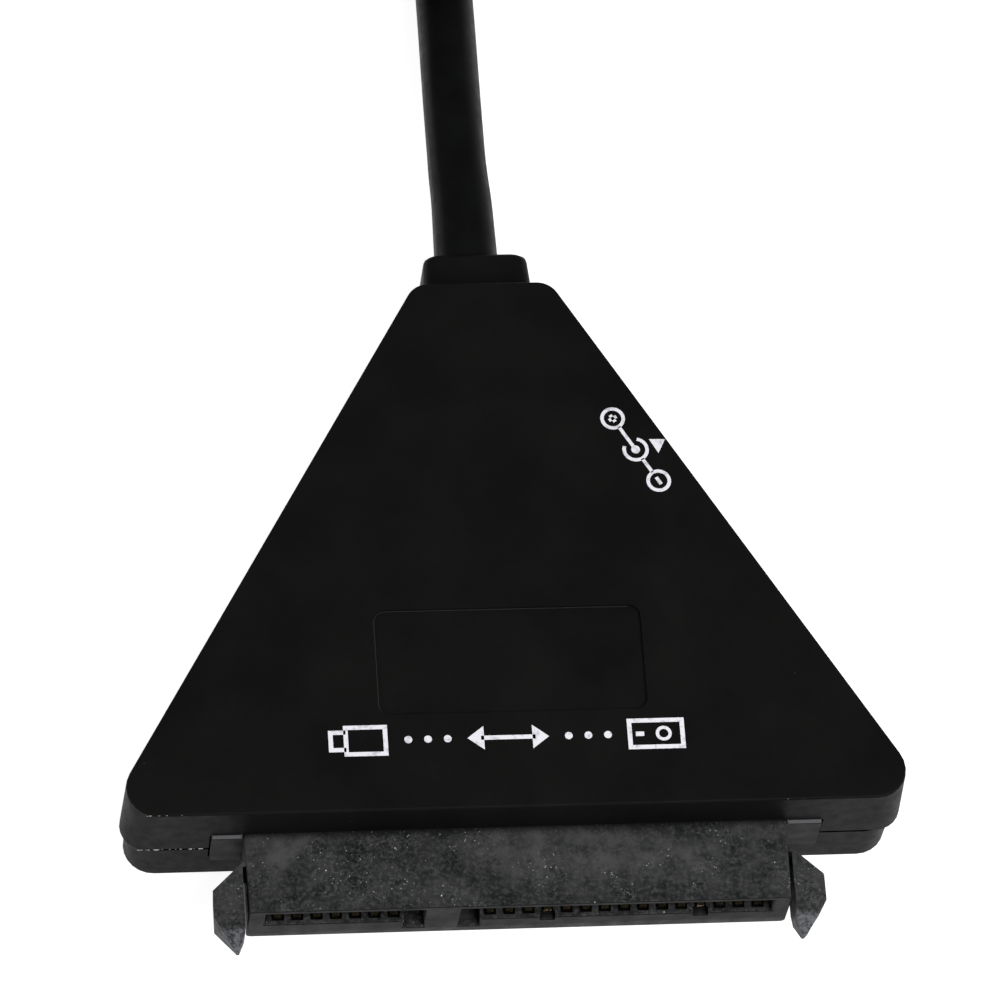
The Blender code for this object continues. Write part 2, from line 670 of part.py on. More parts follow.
def make_drive_connector():
    mouth = -BODY_REACH
    end_half = BODY_HALF_WIDTH - BODY_DRAFT
    body = loft("drive_connector_housing", [
        box_ring(end_half - BODY_CHAMFER, BODY_BOTTOM + BODY_UNDERCUT, BODY_TOP - BODY_CHAMFER, mouth),
        box_ring(end_half, BODY_BOTTOM, BODY_TOP, mouth + BODY_CHAMFER),
        box_ring(BODY_HALF_WIDTH, BODY_BOTTOM, BODY_TOP, -FLANGE_PROUD),
        box_ring(BODY_HALF_WIDTH, BODY_BOTTOM, BODY_TOP, BODY_BACK),
    ], "connector_grey")
    plate_front = WALL + FIT_GAP
    flange_section = (FLANGE_HALF_WIDTH, FLANGE_BOTTOM, FLANGE_TOP)
    flange = loft("connector_flange", [
        box_ring(*flange_section, -FLANGE_PROUD, FLANGE_CORNER_RADIUS, FLANGE_SHIFT),
        box_ring(*flange_section, plate_front, FLANGE_CORNER_RADIUS, FLANGE_SHIFT),
        box_ring(PLATE_HALF_WIDTH, PLATE_BOTTOM, PLATE_TOP, plate_front),
        box_ring(PLATE_HALF_WIDTH, PLATE_BOTTOM, PLATE_TOP, plate_front + PLATE_THICKNESS),
    ], "connector_grey")
    join(body, flange)
    for side in (-1, 1):
        join(body, loft(f"guide_arm_{side}", arm_rings(side), "connector_grey"))
    signal_x, power_x = contact_positions()
    signal = slot_outline(-SLOT_SPAN_HALF, signal_x[-1] + SLOT_KEY_INSET, True)
    power = slot_outline(power_x[0] - SLOT_KEY_INSET, SLOT_SPAN_HALF, False)
    cut(body, make_slot_cutter("signal_slot_cutter", signal))
    cut(body, make_slot_cutter("power_slot_cutter", power))
    cut(body, make_channel_cutter())
    for place in NOTCH_PLACES:
        x = power_x[place]
        cut(body, block(f"notch_{place}", x - NOTCH_WIDTH / 2, x + NOTCH_WIDTH / 2, mouth - BEYOND,
                        mouth + NOTCH_DEPTH, SLOT_BOTTOM - NOTCH_DEPTH, SLOT_BOTTOM + NOTCH_DEPTH,
                        "connector_grey"))


def strip_outline(line, thickness):
    """The outline of a strip that follows a line of points, with its bends mitred."""
    points = [Vector(p) for p in line]
    sides = ([], [])
    for i, point in enumerate(points):
        before = (point - points[i - 1]).normalized() if i else None
        after = (points[i + 1] - point).normalized() if i + 1 < len(points) else None
        a = before or after
        b = after or before
        first, second = Vector((-a.y, a.x)), Vector((-b.y, b.x))
        shift = (first + second) * (thickness / 2) / (1 + first.dot(second))
        sides[0].append(tuple(point + shift))
        sides[1].append(tuple(point - shift))
    return sides[0] + sides[1][::-1]


def make_contacts():
    """Spring contacts, each with a flat tip, a raised crown in the slot and a foot on the board."""
    tip = -BODY_REACH + CONTACT_SETBACK
    rest = SLOT_BOTTOM - CHANNEL_DEPTH + CONTACT_GAP + CONTACT_THICKNESS / 2
    foot = BOARD_TOP + CONTACT_GAP + CONTACT_THICKNESS / 2
    crown = SLOT_BOTTOM + CONTACT_CROWN_RISE
    bend = tip + CONTACT_TIP_LENGTH
    top = bend + CONTACT_SLOPE_LENGTH + CONTACT_CROWN_HALF
    shoulder = crown - CONTACT_THICKNESS / 2
    line = [
        (tip, SLOT_BOTTOM + CONTACT_TIP_LIFT),
        (bend, SLOT_BOTTOM + CONTACT_TIP_LIFT),
        (top - CONTACT_CROWN_HALF, shoulder),
        (top, crown),
        (top + CONTACT_CROWN_HALF, shoulder),
        (-BODY_REACH + SLOT_DEPTH - CONTACT_FALL_END, rest),
        (BODY_BACK + FIT_GAP, rest),
        (BOARD_FRONT + FIT_GAP, foot),
        (BOARD_FRONT + FIT_GAP + CONTACT_FOOT_LENGTH, foot),
    ]
    outline = strip_outline(line, CONTACT_THICKNESS)
    half = CONTACT_WIDTH / 2
    rings = [[(x, y, z) for y, z in outline] for x in (-half, half)]
    mesh = loft_mesh("drive_contact", rings)
    for kind, row in zip(("signal", "power"), contact_positions()):
        for i, x in enumerate(row):
            add(f"{kind}_contact_{i + 1}", mesh, "contact_gold", (x, 0, 0))


def make_board():
    plan = housing_plan(WALL + BOARD_EDGE_GAP, BOARD_FRONT, BOARD_BACK, BOARD_CORNER_RADIUS)
    board = loft("circuit_board", [at_height(plan, BOARD_UNDERSIDE), at_height(plan, BOARD_TOP)],
                 "board_green")
    for i, (x, y) in enumerate(boss_places()):
        cut(board, post(f"board_hole_{i}", x, y, PIN_RADIUS + FIT_GAP, BOARD_UNDERSIDE - BEYOND,
                        BOARD_TOP + BEYOND, "board_green"))
    half = JACK_WIDTH / 2 + FIT_GAP
    low, high = BOARD_UNDERSIDE - BEYOND - AXIS_HEIGHT, BOARD_TOP + BEYOND - AXIS_HEIGHT
    notch = [(-half, low), (half, low), (half, high), (-half, high)]
    cut(board, along_jack("jack_notch", notch, -BEYOND, WALL + JACK_LENGTH + 2 * FIT_GAP, "board_green"))
    boss_x, boss_y = boss_places()[-1]
    jack_corner = jack_point(WALL + FIT_GAP + JACK_LENGTH, JACK_WIDTH / 2, AXIS_HEIGHT)
    between = (boss_x + BOSS_RADIUS + jack_corner[0]) / 2
    place_parts(FRONT_PARTS, 0, 0)
    place_parts(REAR_PARTS, 0, boss_y)
    place_parts(BETWEEN_PARTS, between, boss_y)
    for part in EDGE_PARTS:
        place_parts([part], board_edge(part[2]), 0)


def place_parts(parts, from_x, from_y):
    """Plain blocks on the board for electronic parts, with X and Y counted from this place."""
    base = BOARD_TOP + FIT_GAP
    for name, dx, dy, width, length, height, finish in parts:
        x, y = from_x + dx, from_y + dy
        block(name, x - width / 2, x + width / 2, y - length / 2, y + length / 2, base, base + height, finish)


def make_power_jack():
    """The jack's body with its bore, the centre pin, and the spring that presses on the plug's sleeve."""
    front = WALL + FIT_GAP
    body_outline = rounded_rectangle(JACK_WIDTH, JACK_HEIGHT, JACK_CORNER_RADIUS)
    body = along_jack("power_jack_housing", body_outline, front, front + JACK_LENGTH, "jack_black")
    cut(body, along_jack("jack_bore", circle(JACK_BORE_RADIUS), front - BEYOND, front + JACK_BORE_DEPTH,
                         "jack_black"))
    hole = circle(JACK_PIN_RADIUS + FIT_GAP)
    cut(body, along_jack("jack_pin_hole", hole, front, front + JACK_LENGTH + BEYOND, "jack_black"))
    end = front + JACK_LENGTH
    start = front + JACK_BORE_DEPTH - JACK_PIN_LENGTH
    nose = JACK_PIN_RADIUS / 2
    pin_rings = [
        [jack_point(d, u, AXIS_HEIGHT + v) for u, v in circle(r, steps=16)]
        for d, r in ((start, nose), (start + nose, JACK_PIN_RADIUS), (end, JACK_PIN_RADIUS))
    ]
    loft("power_jack_pin", pin_rings, "bright_metal")
    half = JACK_SPRING_WIDTH / 2 + FIT_GAP
    low = -JACK_HEIGHT / 2 - BEYOND
    slot = [(-half, low), (half, low), (half, 0.0), (-half, 0.0)]
    bore_end = front + JACK_BORE_DEPTH
    cut(body, along_jack("jack_spring_slot", slot, bore_end - JACK_SPRING_SLOT_LENGTH, bore_end + 2 * FIT_GAP,
                         "jack_black"))
    make_jack_spring(front)


def make_jack_spring(front):
    """A leaf that rises from the jack's underside to a crown inside the bore."""
    bottom = -JACK_BORE_RADIUS + JACK_SPRING_THICKNESS / 2
    crown = -JACK_PIN_RADIUS - JACK_SPRING_TO_PIN
    below_crown = crown - JACK_SPRING_THICKNESS
    heights = (bottom - JACK_SPRING_THICKNESS, bottom, below_crown, crown, below_crown)
    line = [(front + JACK_BORE_DEPTH - d, z) for d, z in zip(JACK_SPRING_BENDS, heights)]
    outline = strip_outline(line, JACK_SPRING_THICKNESS)
    half = JACK_SPRING_WIDTH / 2
    rings = [[jack_point(d, u, AXIS_HEIGHT + v) for d, v in outline] for u in (-half, half)]
    loft("power_jack_spring", rings, "bright_metal")


def gland_ring(width, height, radius, y, x=0.0):
    return at_depth(rounded_rectangle(width, height, radius, (x, AXIS_HEIGHT), 4), y)


def make_gland():
    """The moulded grommet: a collar inside the wall, a neck through it, a block outside and a sleeve."""
    wall_in = HOUSING_LENGTH - WALL - FIT_GAP
    wall_out = HOUSING_LENGTH + FIT_GAP
    block_end = wall_out + GLAND_REACH
    far_width, far_height = GLAND_WIDTH - GLAND_TAPER, GLAND_HEIGHT - GLAND_TAPER
    rounded_end = []
    for degrees in (0, 30, 60, 90):
        angle = math.radians(degrees)
        inset = GLAND_EDGE_ROUND * (1 - math.cos(angle))
        y = block_end - GLAND_EDGE_ROUND * (1 - math.sin(angle))
        rounded_end.append(gland_ring(far_width - 2 * inset, far_height - 2 * inset, GLAND_CORNER_RADIUS, y))
    sleeve = (SLEEVE_ROOT_DIAMETER, block_end), (SLEEVE_END_DIAMETER, GLAND_BACK)
    loft("cable_gland", [
        gland_ring(COLLAR_WIDTH, COLLAR_HEIGHT, NECK_CORNER_RADIUS, wall_in - COLLAR_LENGTH),
        gland_ring(COLLAR_WIDTH, COLLAR_HEIGHT, NECK_CORNER_RADIUS, wall_in),
        gland_ring(NECK_WIDTH, NECK_HEIGHT, NECK_CORNER_RADIUS, wall_in),
        gland_ring(NECK_WIDTH, NECK_HEIGHT, NECK_CORNER_RADIUS, wall_out),
        gland_ring(GLAND_WIDTH, GLAND_HEIGHT, GLAND_CORNER_RADIUS, wall_out),
        *rounded_end,
        *[gland_ring(size, size, size / 2, y, -SLEEVE_SHIFT) for size, y in sleeve],
    ], "rubber_black")


def smooth_through(points, step):
    """Points about a step apart on a smooth curve through the given points."""
    given = [Vector(p) for p in points]
    given = [2 * given[0] - given[1]] + given + [2 * given[-1] - given[-2]]
    fine = []
    for before, start, end, after in zip(given, given[1:], given[2:], given[3:]):
        for k in range(CURVE_STEPS):
            t = k / CURVE_STEPS
            leaving, arriving = (end - before) / 2, (after - start) / 2
            fine.append(
                start * (2 * t**3 - 3 * t**2 + 1) + leaving * (t**3 - 2 * t**2 + t)
                + end * (3 * t**2 - 2 * t**3) + arriving * (t**3 - t**2)
            )
    fine.append(given[-2])
    lengths = [0.0]
    for a, b in zip(fine, fine[1:]):
        lengths.append(lengths[-1] + (b - a).length)
    count = max(2, round(lengths[-1] / step))
    sampled = []
    j = 0
    for k in range(count + 1):
        wanted = lengths[-1] * k / count
        while j < len(fine) - 2 and lengths[j + 1] < wanted:
            j += 1
        share = (wanted - lengths[j]) / (lengths[j + 1] - lengths[j])
        sampled.append(fine[j].lerp(fine[j + 1], share))
    return sampled


def make_tube(name, points, diameter, finish, resolution):
    """A round tube along these points, closed at its ends."""
    curve = bpy.data.curves.new(name, "CURVE")
    curve.dimensions = "3D"
    curve.bevel_depth = diameter / 2
    curve.bevel_resolution = resolution
    curve.use_fill_caps = True
    spline = curve.splines.new("POLY")
    spline.points.add(len(points) - 1)
    for place, point in zip(spline.points, points):
        place.co = (*point, 1)
    return add(name, curve, finish)


def make_inner_wires():
    """Conductors that leave the gland's collar and drop to their pads at the back of the board."""
    start_y = HOUSING_LENGTH - WALL - 2 * FIT_GAP - COLLAR_LENGTH
    for name, x, diameter, finish in INNER_WIRES:
        low = BOARD_TOP + CONTACT_GAP + diameter / 2
        end_y = BOARD_BACK - 2 * diameter
        middle = (start_y + end_y) / 2
        points = [
            (x, start_y, AXIS_HEIGHT),
            (x, (start_y + middle) / 2, AXIS_HEIGHT + (low - AXIS_HEIGHT) * WIRE_EASE),
            (x, middle, (AXIS_HEIGHT + low) / 2),
            (x, (middle + end_y) / 2, low + (AXIS_HEIGHT - low) * WIRE_EASE),
            (x, end_y, low),
        ]
        make_tube(name, smooth_through(points, diameter), diameter, finish, 1)


def make_cable():
    """The cable from the gland to its coil, and from the coil to the plug."""
    make_tube("cable", smooth_through(ROUTE_OUT, SAMPLE_STEP), CABLE_DIAMETER, "cable_black", 2)
    make_tube("cable_tail", smooth_through(ROUTE_BACK, SAMPLE_STEP), CABLE_DIAMETER, "cable_black", 2)


def coil_point(radius, angle, z):
    return (COIL_CENTRE[0] + radius * math.cos(angle), COIL_CENTRE[1] + radius * math.sin(angle), z)


def make_coil():
    """The coil's outer shape as a turned ring, and the tie round it."""
    size = 2 * COIL_HALF_SECTION
    middle = COIL_UNDERSIDE + COIL_HALF_SECTION
    section = rounded_rectangle(size, size, COIL_CORNER_RADIUS, (COIL_RADIUS, middle), 2)
    rings = []
    for k in range(COIL_STEPS):
        angle = 2 * math.pi * k / COIL_STEPS
        rings.append([coil_point(r, angle, z) for r, z in section])
    loft("cable_coil", rings, "cable_black", closed=True)
    inner_size = size + 2 * TIE_GAP
    outer_size = inner_size + 2 * TIE_THICKNESS
    inner = rounded_rectangle(inner_size, inner_size, COIL_CORNER_RADIUS, (COIL_RADIUS, middle))
    outer = rounded_rectangle(outer_size, outer_size, COIL_CORNER_RADIUS, (COIL_RADIUS, middle))
    along = Vector((-math.sin(TIE_ANGLE), math.cos(TIE_ANGLE), 0)) * TIE_WIDTH / 2
    tie = []
    for outline, way in ((outer, -1), (outer, 1), (inner, 1), (inner, -1)):
        tie.append([tuple(Vector(coil_point(r, TIE_ANGLE, z)) + along * way) for r, z in outline])
    loft("cable_tie", tie, "tie_black", closed=True)


def plug_ring(width, height, radius, y, drop=0.0):
    return at_depth(rounded_rectangle(width, height, radius, (PLUG_X, PLUG_AXIS_HEIGHT - drop), 3), y)


def make_plug():
    grip_back = PLUG_BACK + BOOT_LENGTH
    grip_front = grip_back + GRIP_LENGTH
    edge = GRIP_CORNER_RADIUS / 2
    grip = loft("plug_overmould", [
        plug_ring(BOOT_END_DIAMETER, BOOT_END_DIAMETER, BOOT_END_DIAMETER / 2, PLUG_BACK),
        plug_ring(BOOT_ROOT_DIAMETER, BOOT_ROOT_DIAMETER, BOOT_ROOT_DIAMETER / 2, grip_back),
        plug_ring(GRIP_WIDTH - 4 * edge, GRIP_HEIGHT - 2 * edge, GRIP_CORNER_RADIUS, grip_back),
        plug_ring(GRIP_WIDTH, GRIP_HEIGHT, GRIP_CORNER_RADIUS, grip_back + 2 * edge),
        plug_ring(GRIP_WIDTH, GRIP_HEIGHT, GRIP_CORNER_RADIUS, grip_front - edge),
        plug_ring(GRIP_WIDTH - edge, GRIP_HEIGHT - edge, GRIP_CORNER_RADIUS, grip_front),
    ], "rubber_black")
    pocket = plug_ring(SHELL_WIDTH + 2 * FIT_GAP, SHELL_HEIGHT + 2 * FIT_GAP, SHELL_CORNER_RADIUS,
                       grip_front - SOCKET_DEPTH)
    pocket_end = [(x, grip_front + BEYOND, z) for x, _, z in pocket]
    cut(grip, loft("plug_pocket", [pocket, pocket_end], "rubber_black"))
    make_plug_shell(grip_front)
    make_plug_tongue(grip_front)


def make_plug_shell(grip_front):
    """The folded metal shell, open at its mouth and back, with its four latch holes."""
    back = grip_front - SOCKET_DEPTH + FIT_GAP
    mouth = grip_front + SHELL_REACH
    hollow_width, hollow_height = SHELL_WIDTH - 2 * SHELL_WALL, SHELL_HEIGHT - 2 * SHELL_WALL
    inner_radius = SHELL_CORNER_RADIUS - SHELL_WALL
    shell = loft("plug_shell", [
        plug_ring(SHELL_WIDTH, SHELL_HEIGHT, SHELL_CORNER_RADIUS, back),
        plug_ring(SHELL_WIDTH, SHELL_HEIGHT, SHELL_CORNER_RADIUS, mouth),
        plug_ring(hollow_width, hollow_height, inner_radius, mouth),
        plug_ring(hollow_width, hollow_height, inner_radius, back),
    ], "bright_metal", closed=True)
    middle = mouth - LATCH_HOLE_SETBACK
    for side in (-1, 1):
        x = PLUG_X + side * LATCH_HOLE_X
        cut(shell, block(f"latch_hole_{side}", x - LATCH_HOLE_WIDTH / 2, x + LATCH_HOLE_WIDTH / 2,
                         middle - LATCH_HOLE_LENGTH / 2, middle + LATCH_HOLE_LENGTH / 2,
                         PLUG_AXIS_HEIGHT - SHELL_HEIGHT, PLUG_AXIS_HEIGHT + SHELL_HEIGHT, "bright_metal"))


def make_plug_tongue(grip_front):
    """The tongue that fills the lower half of the shell, with its nine contacts in grooves."""
    half = SHELL_WIDTH / 2 - SHELL_WALL - FIT_GAP
    bottom = PLUG_AXIS_HEIGHT - SHELL_HEIGHT / 2 + SHELL_WALL + FIT_GAP
    ceiling = PLUG_AXIS_HEIGHT + SHELL_HEIGHT / 2 - SHELL_WALL - FIT_GAP
    top = bottom + TONGUE_THICKNESS
    back = grip_front - SOCKET_DEPTH + 2 * FIT_GAP
    front = grip_front + SHELL_REACH - TONGUE_SETBACK
    step = back + TONGUE_BACK_LENGTH
    profile = [(back, bottom), (front, bottom), (front, top), (step, top), (step, ceiling), (back, ceiling)]
    rings = [[(PLUG_X + side * half, y, z) for y, z in profile] for side in (-1, 1)]
    tongue = loft("plug_tongue", rings, "tongue_blue")
    front_end = front - TONGUE_SETBACK
    rear_end = front_end - PLUG_CONTACT_LENGTH - 2 * REAR_CONTACT_LENGTH
    groups = (
        ("plug_contact", PLUG_CONTACT_X, PLUG_CONTACT_WIDTH, PLUG_CONTACT_LENGTH, front_end),
        ("plug_rear_contact", REAR_CONTACT_X, REAR_CONTACT_WIDTH, REAR_CONTACT_LENGTH,
         rear_end + REAR_CONTACT_LENGTH),
    )
    floor = top - PLUG_CONTACT_THICKNESS
    for name, places, width, length, end in groups:
        for i, offset in enumerate(places):
            x = PLUG_X + offset
            reach = width / 2 + CONTACT_GAP
            cut(tongue, block(f"{name}_groove_{i + 1}", x - reach, x + reach, end - length - CONTACT_GAP,
                              end + CONTACT_GAP, floor - CONTACT_GAP, top + BEYOND / 2, "tongue_blue"))
            block(f"{name}_{i + 1}", x - width / 2, x + width / 2, end - length, end, floor,
                  floor + PLUG_CONTACT_THICKNESS, "contact_gold")


def main():
    clear_scene()
    make_carrier()
    openings = housing_openings()
    make_lower_shell(openings)
    make_upper_shell(openings)
    make_drive_connector()
    make_contacts()
    make_board()
    make_power_jack()
    make_gland()
    make_inner_wires()
    make_cable()
    make_coil()
    make_plug()


main()
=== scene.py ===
import math
import random

import bmesh
import bpy
from mathutils import Matrix, Vector


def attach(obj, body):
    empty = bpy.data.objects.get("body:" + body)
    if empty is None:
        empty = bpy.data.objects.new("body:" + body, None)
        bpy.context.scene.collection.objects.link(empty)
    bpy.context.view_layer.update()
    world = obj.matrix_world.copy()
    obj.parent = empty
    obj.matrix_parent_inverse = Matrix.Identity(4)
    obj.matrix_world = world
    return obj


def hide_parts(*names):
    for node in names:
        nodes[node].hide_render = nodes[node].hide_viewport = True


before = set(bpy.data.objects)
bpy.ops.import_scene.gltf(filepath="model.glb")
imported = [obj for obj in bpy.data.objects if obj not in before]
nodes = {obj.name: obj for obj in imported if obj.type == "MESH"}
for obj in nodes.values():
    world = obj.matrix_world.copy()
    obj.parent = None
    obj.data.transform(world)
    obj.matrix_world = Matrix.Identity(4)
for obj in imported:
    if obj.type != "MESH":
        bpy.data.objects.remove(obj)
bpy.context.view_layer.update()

# Sizes in metres, as the solids have them. Y is counted from the housing's front wall.
CENTRE_Y = 0.019895
HOUSING_HEIGHT = 0.0100
FRONT_HALF_WIDTH = 0.02726
BACK_HALF_WIDTH = 0.00464
HOUSING_LENGTH = 0.03886
FRONT_CORNER_RADIUS = 0.0021
CABLE_DIAMETER = 0.0041
FIELD_HALF_WIDTH = 0.00892
FIELD_FRONT = 0.0068
FIELD_LENGTH = 0.0076
FIELD_CORNER_RADIUS = 0.0008
FIELD_DEPTH = 0.0002

MM = 0.001

# The painted shadow in the seam under the upper shell's foot
SEAM_LOW = 0.00405
SEAM_HIGH = 0.00430
SEAM_INSET = 0.0001
SEAM_RUN_BACK = 0.0060
SEAM_PROUD = 0.000006
SEAM_SUNK = 0.00002
CORNER_STEPS = 8

# Printed marks: the film's thickness, and the middle of each group on the top
PRINT_THICKNESS = 0.000012
CONNECTION_MARKS = (-0.0011, 0.00498)
POLARITY_MARKS = (0.00955, 0.0259)

# The painted highlight line at the foot of the label field's wall
RIM_WIDTH = 0.06 * MM
RIM_INSET = 0.05 * MM

# Rounds on the mouldings' edges, for edges sharper than this many degrees
SHELL_ROUND = 0.00008
CONNECTOR_ROUND = 0.00006
ROUNDED_FROM = 40
SHARP_FROM = 34
MERGE_DISTANCE = 0.000001

# The camera's angles in degrees, its lens in millimetres, and its place in metres in its own axes
CAMERA_ELEVATION = 63.233
CAMERA_AZIMUTH = -14.0
CAMERA_ROLL = 11.339
CAMERA_LENS = 215.55
CAMERA_ASIDE = -0.0004918
CAMERA_RISE = 0.024445
CAMERA_DISTANCE = 0.400

# Light and floor
WORLD_STRENGTH = 0.32
FLOOR_HALF_WIDTH = 4.0
FLOOR_GREY = 0.5
FLOOR_GLOW = 0.84
FLOOR_GAP = 0.00002

# Where each finish of the connector fades in, among them the painted shade on the mouth's face and the
# flange's front and the painted highlight on the flange's top: from one distance to the other, counted across
# from the middle plane or along from the housing's front wall
ON_BODY = (0.0182, 0.0180)
BESIDE_BODY = (0.0180, 0.0182)
PATCHES_FADE = (-0.0056, -0.0026)
MOUTH_SHADE_FADE = (-0.00550, -0.00555)
FLANGE_SHADE_FADE = (-0.00034, -0.00028)
STEP_HIGHLIGHT_FADE = (-0.00022, -0.00019)
TIPS_FADE = (-0.0062, -0.0066)

# The jacket swells by this share where it leaves the gland
SWELL = 0.088
SWELL_START = 0.0425
SWELL_END = 0.0515

# The cable's route: X, Y and Z of its points out of the gland, then back from the coil to the plug
ROUTE_OUT = (
    (-0.00040, 0.0424, 0.0050),
    (-0.00040, 0.0450, 0.0050),
    (-0.00042, 0.0478, 0.0050),
    (-0.00053, 0.0505, 0.0050),
    (-0.00054, 0.0545, 0.00475),
    (-0.00048, 0.0588, 0.00415),
    (-0.00038, 0.0630, 0.0033),
    (-0.00032, 0.0675, 0.0026),
    (-0.0003, 0.0720, 0.0023),
    (-0.0003, 0.0765, 0.0024),
    (-0.0003, 0.0802, 0.0026),
    (-0.0003, 0.0860, 0.00285),
)
ROUTE_BACK = (
    (-0.0180, 0.070125, 0.00707),
    (-0.0103, 0.07012, 0.00707),
    (-0.0050, 0.07012, 0.00706),
    (-0.0003, 0.07015, 0.00695),
    (0.0045, 0.0708, 0.0064),
    (0.0095, 0.0732, 0.0056),
    (0.0132, 0.0772, 0.0050),
    (0.0154, 0.0820, 0.0045),
    (0.0160, 0.0870, 0.0041),
    (0.0160, 0.0917, 0.0040),
)
COIL_CENTRE = (-0.025175, 0.0950)
COIL_OUTER = 0.024875
COIL_INNER = 0.020725
COIL_LOW = 0.00292
COIL_HIGH = 0.00707
COIL_DEGREES = 990
COIL_STEP = 15
COIL_INWARD = (285, 335)
COIL_UPWARD = (570, 630)
COIL_OUTWARD = (780, 860)
ROUTE_STEPS = 6


def to_world(x, y, z):
    return Vector((x, y - CENTRE_Y, z))


def math_node(tree, operation, *values):
    """The result of one Math node, whose inputs are numbers or outputs of other nodes."""
    node = tree.nodes.new("ShaderNodeMath")
    node.operation = operation
    for socket, value in zip(node.inputs, values):
        if isinstance(value, float):
            socket.default_value = value
        else:
            tree.links.new(value, socket)
    return node.outputs[0]


def add_piece(name, mesh, finish):
    """Adds a mesh to the scene as a piece that rides with the part."""
    mesh.materials.append(finish)
    piece = bpy.data.objects.new(name, mesh)
    bpy.context.scene.collection.objects.link(piece)
    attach(piece, "root")
    return piece


# Camera, floor and light


def make_camera():
    """The photograph's viewing angle: turned a little to one side, looking down, and rolled."""
    angles = (CAMERA_ELEVATION, CAMERA_AZIMUTH, CAMERA_ROLL)
    elevation, azimuth, roll = (math.radians(angle) for angle in angles)
    back = Vector((
        math.sin(azimuth) * math.cos(elevation),
        -math.cos(azimuth) * math.cos(elevation),
        math.sin(elevation),
    ))
    level = Vector((math.cos(azimuth), math.sin(azimuth), 0))
    rising = back.cross(level)
    right = math.cos(roll) * level + math.sin(roll) * rising
    up = math.cos(roll) * rising - math.sin(roll) * level
    data = bpy.data.cameras.new("camera")
    data.sensor_width = 36
    data.lens = CAMERA_LENS
    data.clip_start = 0.01
    data.clip_end = 10
    camera = bpy.data.objects.new("camera", data)
    place = CAMERA_ASIDE * right + CAMERA_RISE * up + CAMERA_DISTANCE * back
    turn = Matrix((right, up, back)).transposed().to_4x4()
    camera.matrix_world = Matrix.Translation(to_world(*place)) @ turn
    bpy.context.scene.collection.objects.link(camera)
    bpy.context.scene.camera = camera


def make_lamp(name, azimuth, elevation, distance, size, energy):
    """A soft round lamp that points at the frame's origin."""
    a, e = math.radians(azimuth), math.radians(elevation)
    away = Vector((math.sin(a) * math.cos(e), -math.cos(a) * math.cos(e), math.sin(e)))
    data = bpy.data.lights.new(name, "AREA")
    data.shape = "DISK"
    data.size = size
    data.energy = energy
    lamp = bpy.data.objects.new(name, data)
    lamp.location = away * distance
    lamp.visible_camera = False
    lamp.rotation_mode = "QUATERNION"
    lamp.rotation_quaternion = away.to_track_quat("Z", "Y")
    bpy.context.scene.collection.objects.link(lamp)


def make_world():
    world = bpy.data.worlds.new("studio")
    world.use_nodes = True
    background = world.node_tree.nodes["Background"]
    background.inputs["Color"].default_value = (1, 1, 1, 1)
    background.inputs["Strength"].default_value = WORLD_STRENGTH
    bpy.context.scene.world = world


def make_floor():
    """A plain white floor that keeps a soft shadow."""
    material = bpy.data.materials.new("floor_white")
    material.use_nodes = True
    tree = material.node_tree
    tree.nodes.clear()
    path = tree.nodes.new("ShaderNodeLightPath").outputs
    seen = math_node(tree, "MAXIMUM", path["Is Camera Ray"], path["Is Glossy Ray"])
    also = math_node(tree, "MAXIMUM", seen, path["Is Transmission Ray"])
    glow = tree.nodes.new("ShaderNodeEmission")
    tree.links.new(math_node(tree, "MULTIPLY", also, FLOOR_GLOW), glow.inputs["Strength"])
    matte = tree.nodes.new("ShaderNodeBsdfDiffuse")
    matte.inputs["Color"].default_value = (FLOOR_GREY, FLOOR_GREY, FLOOR_GREY, 1)
    both = tree.nodes.new("ShaderNodeAddShader")
    tree.links.new(matte.outputs[0], both.inputs[0])
    tree.links.new(glow.outputs[0], both.inputs[1])
    out = tree.nodes.new("ShaderNodeOutputMaterial")
    tree.links.new(both.outputs[0], out.inputs["Surface"])
    half = FLOOR_HALF_WIDTH
    corners = [(-half, -half, 0), (half, -half, 0), (half, half, 0), (-half, half, 0)]
    mesh = bpy.data.meshes.new("floor")
    mesh.from_pydata(corners, [], [(0, 1, 2, 3)])
    mesh.materials.append(material)
    floor = bpy.data.objects.new("floor", mesh)
    floor.location.z = -FLOOR_GAP
    bpy.context.scene.collection.objects.link(floor)


# Materials


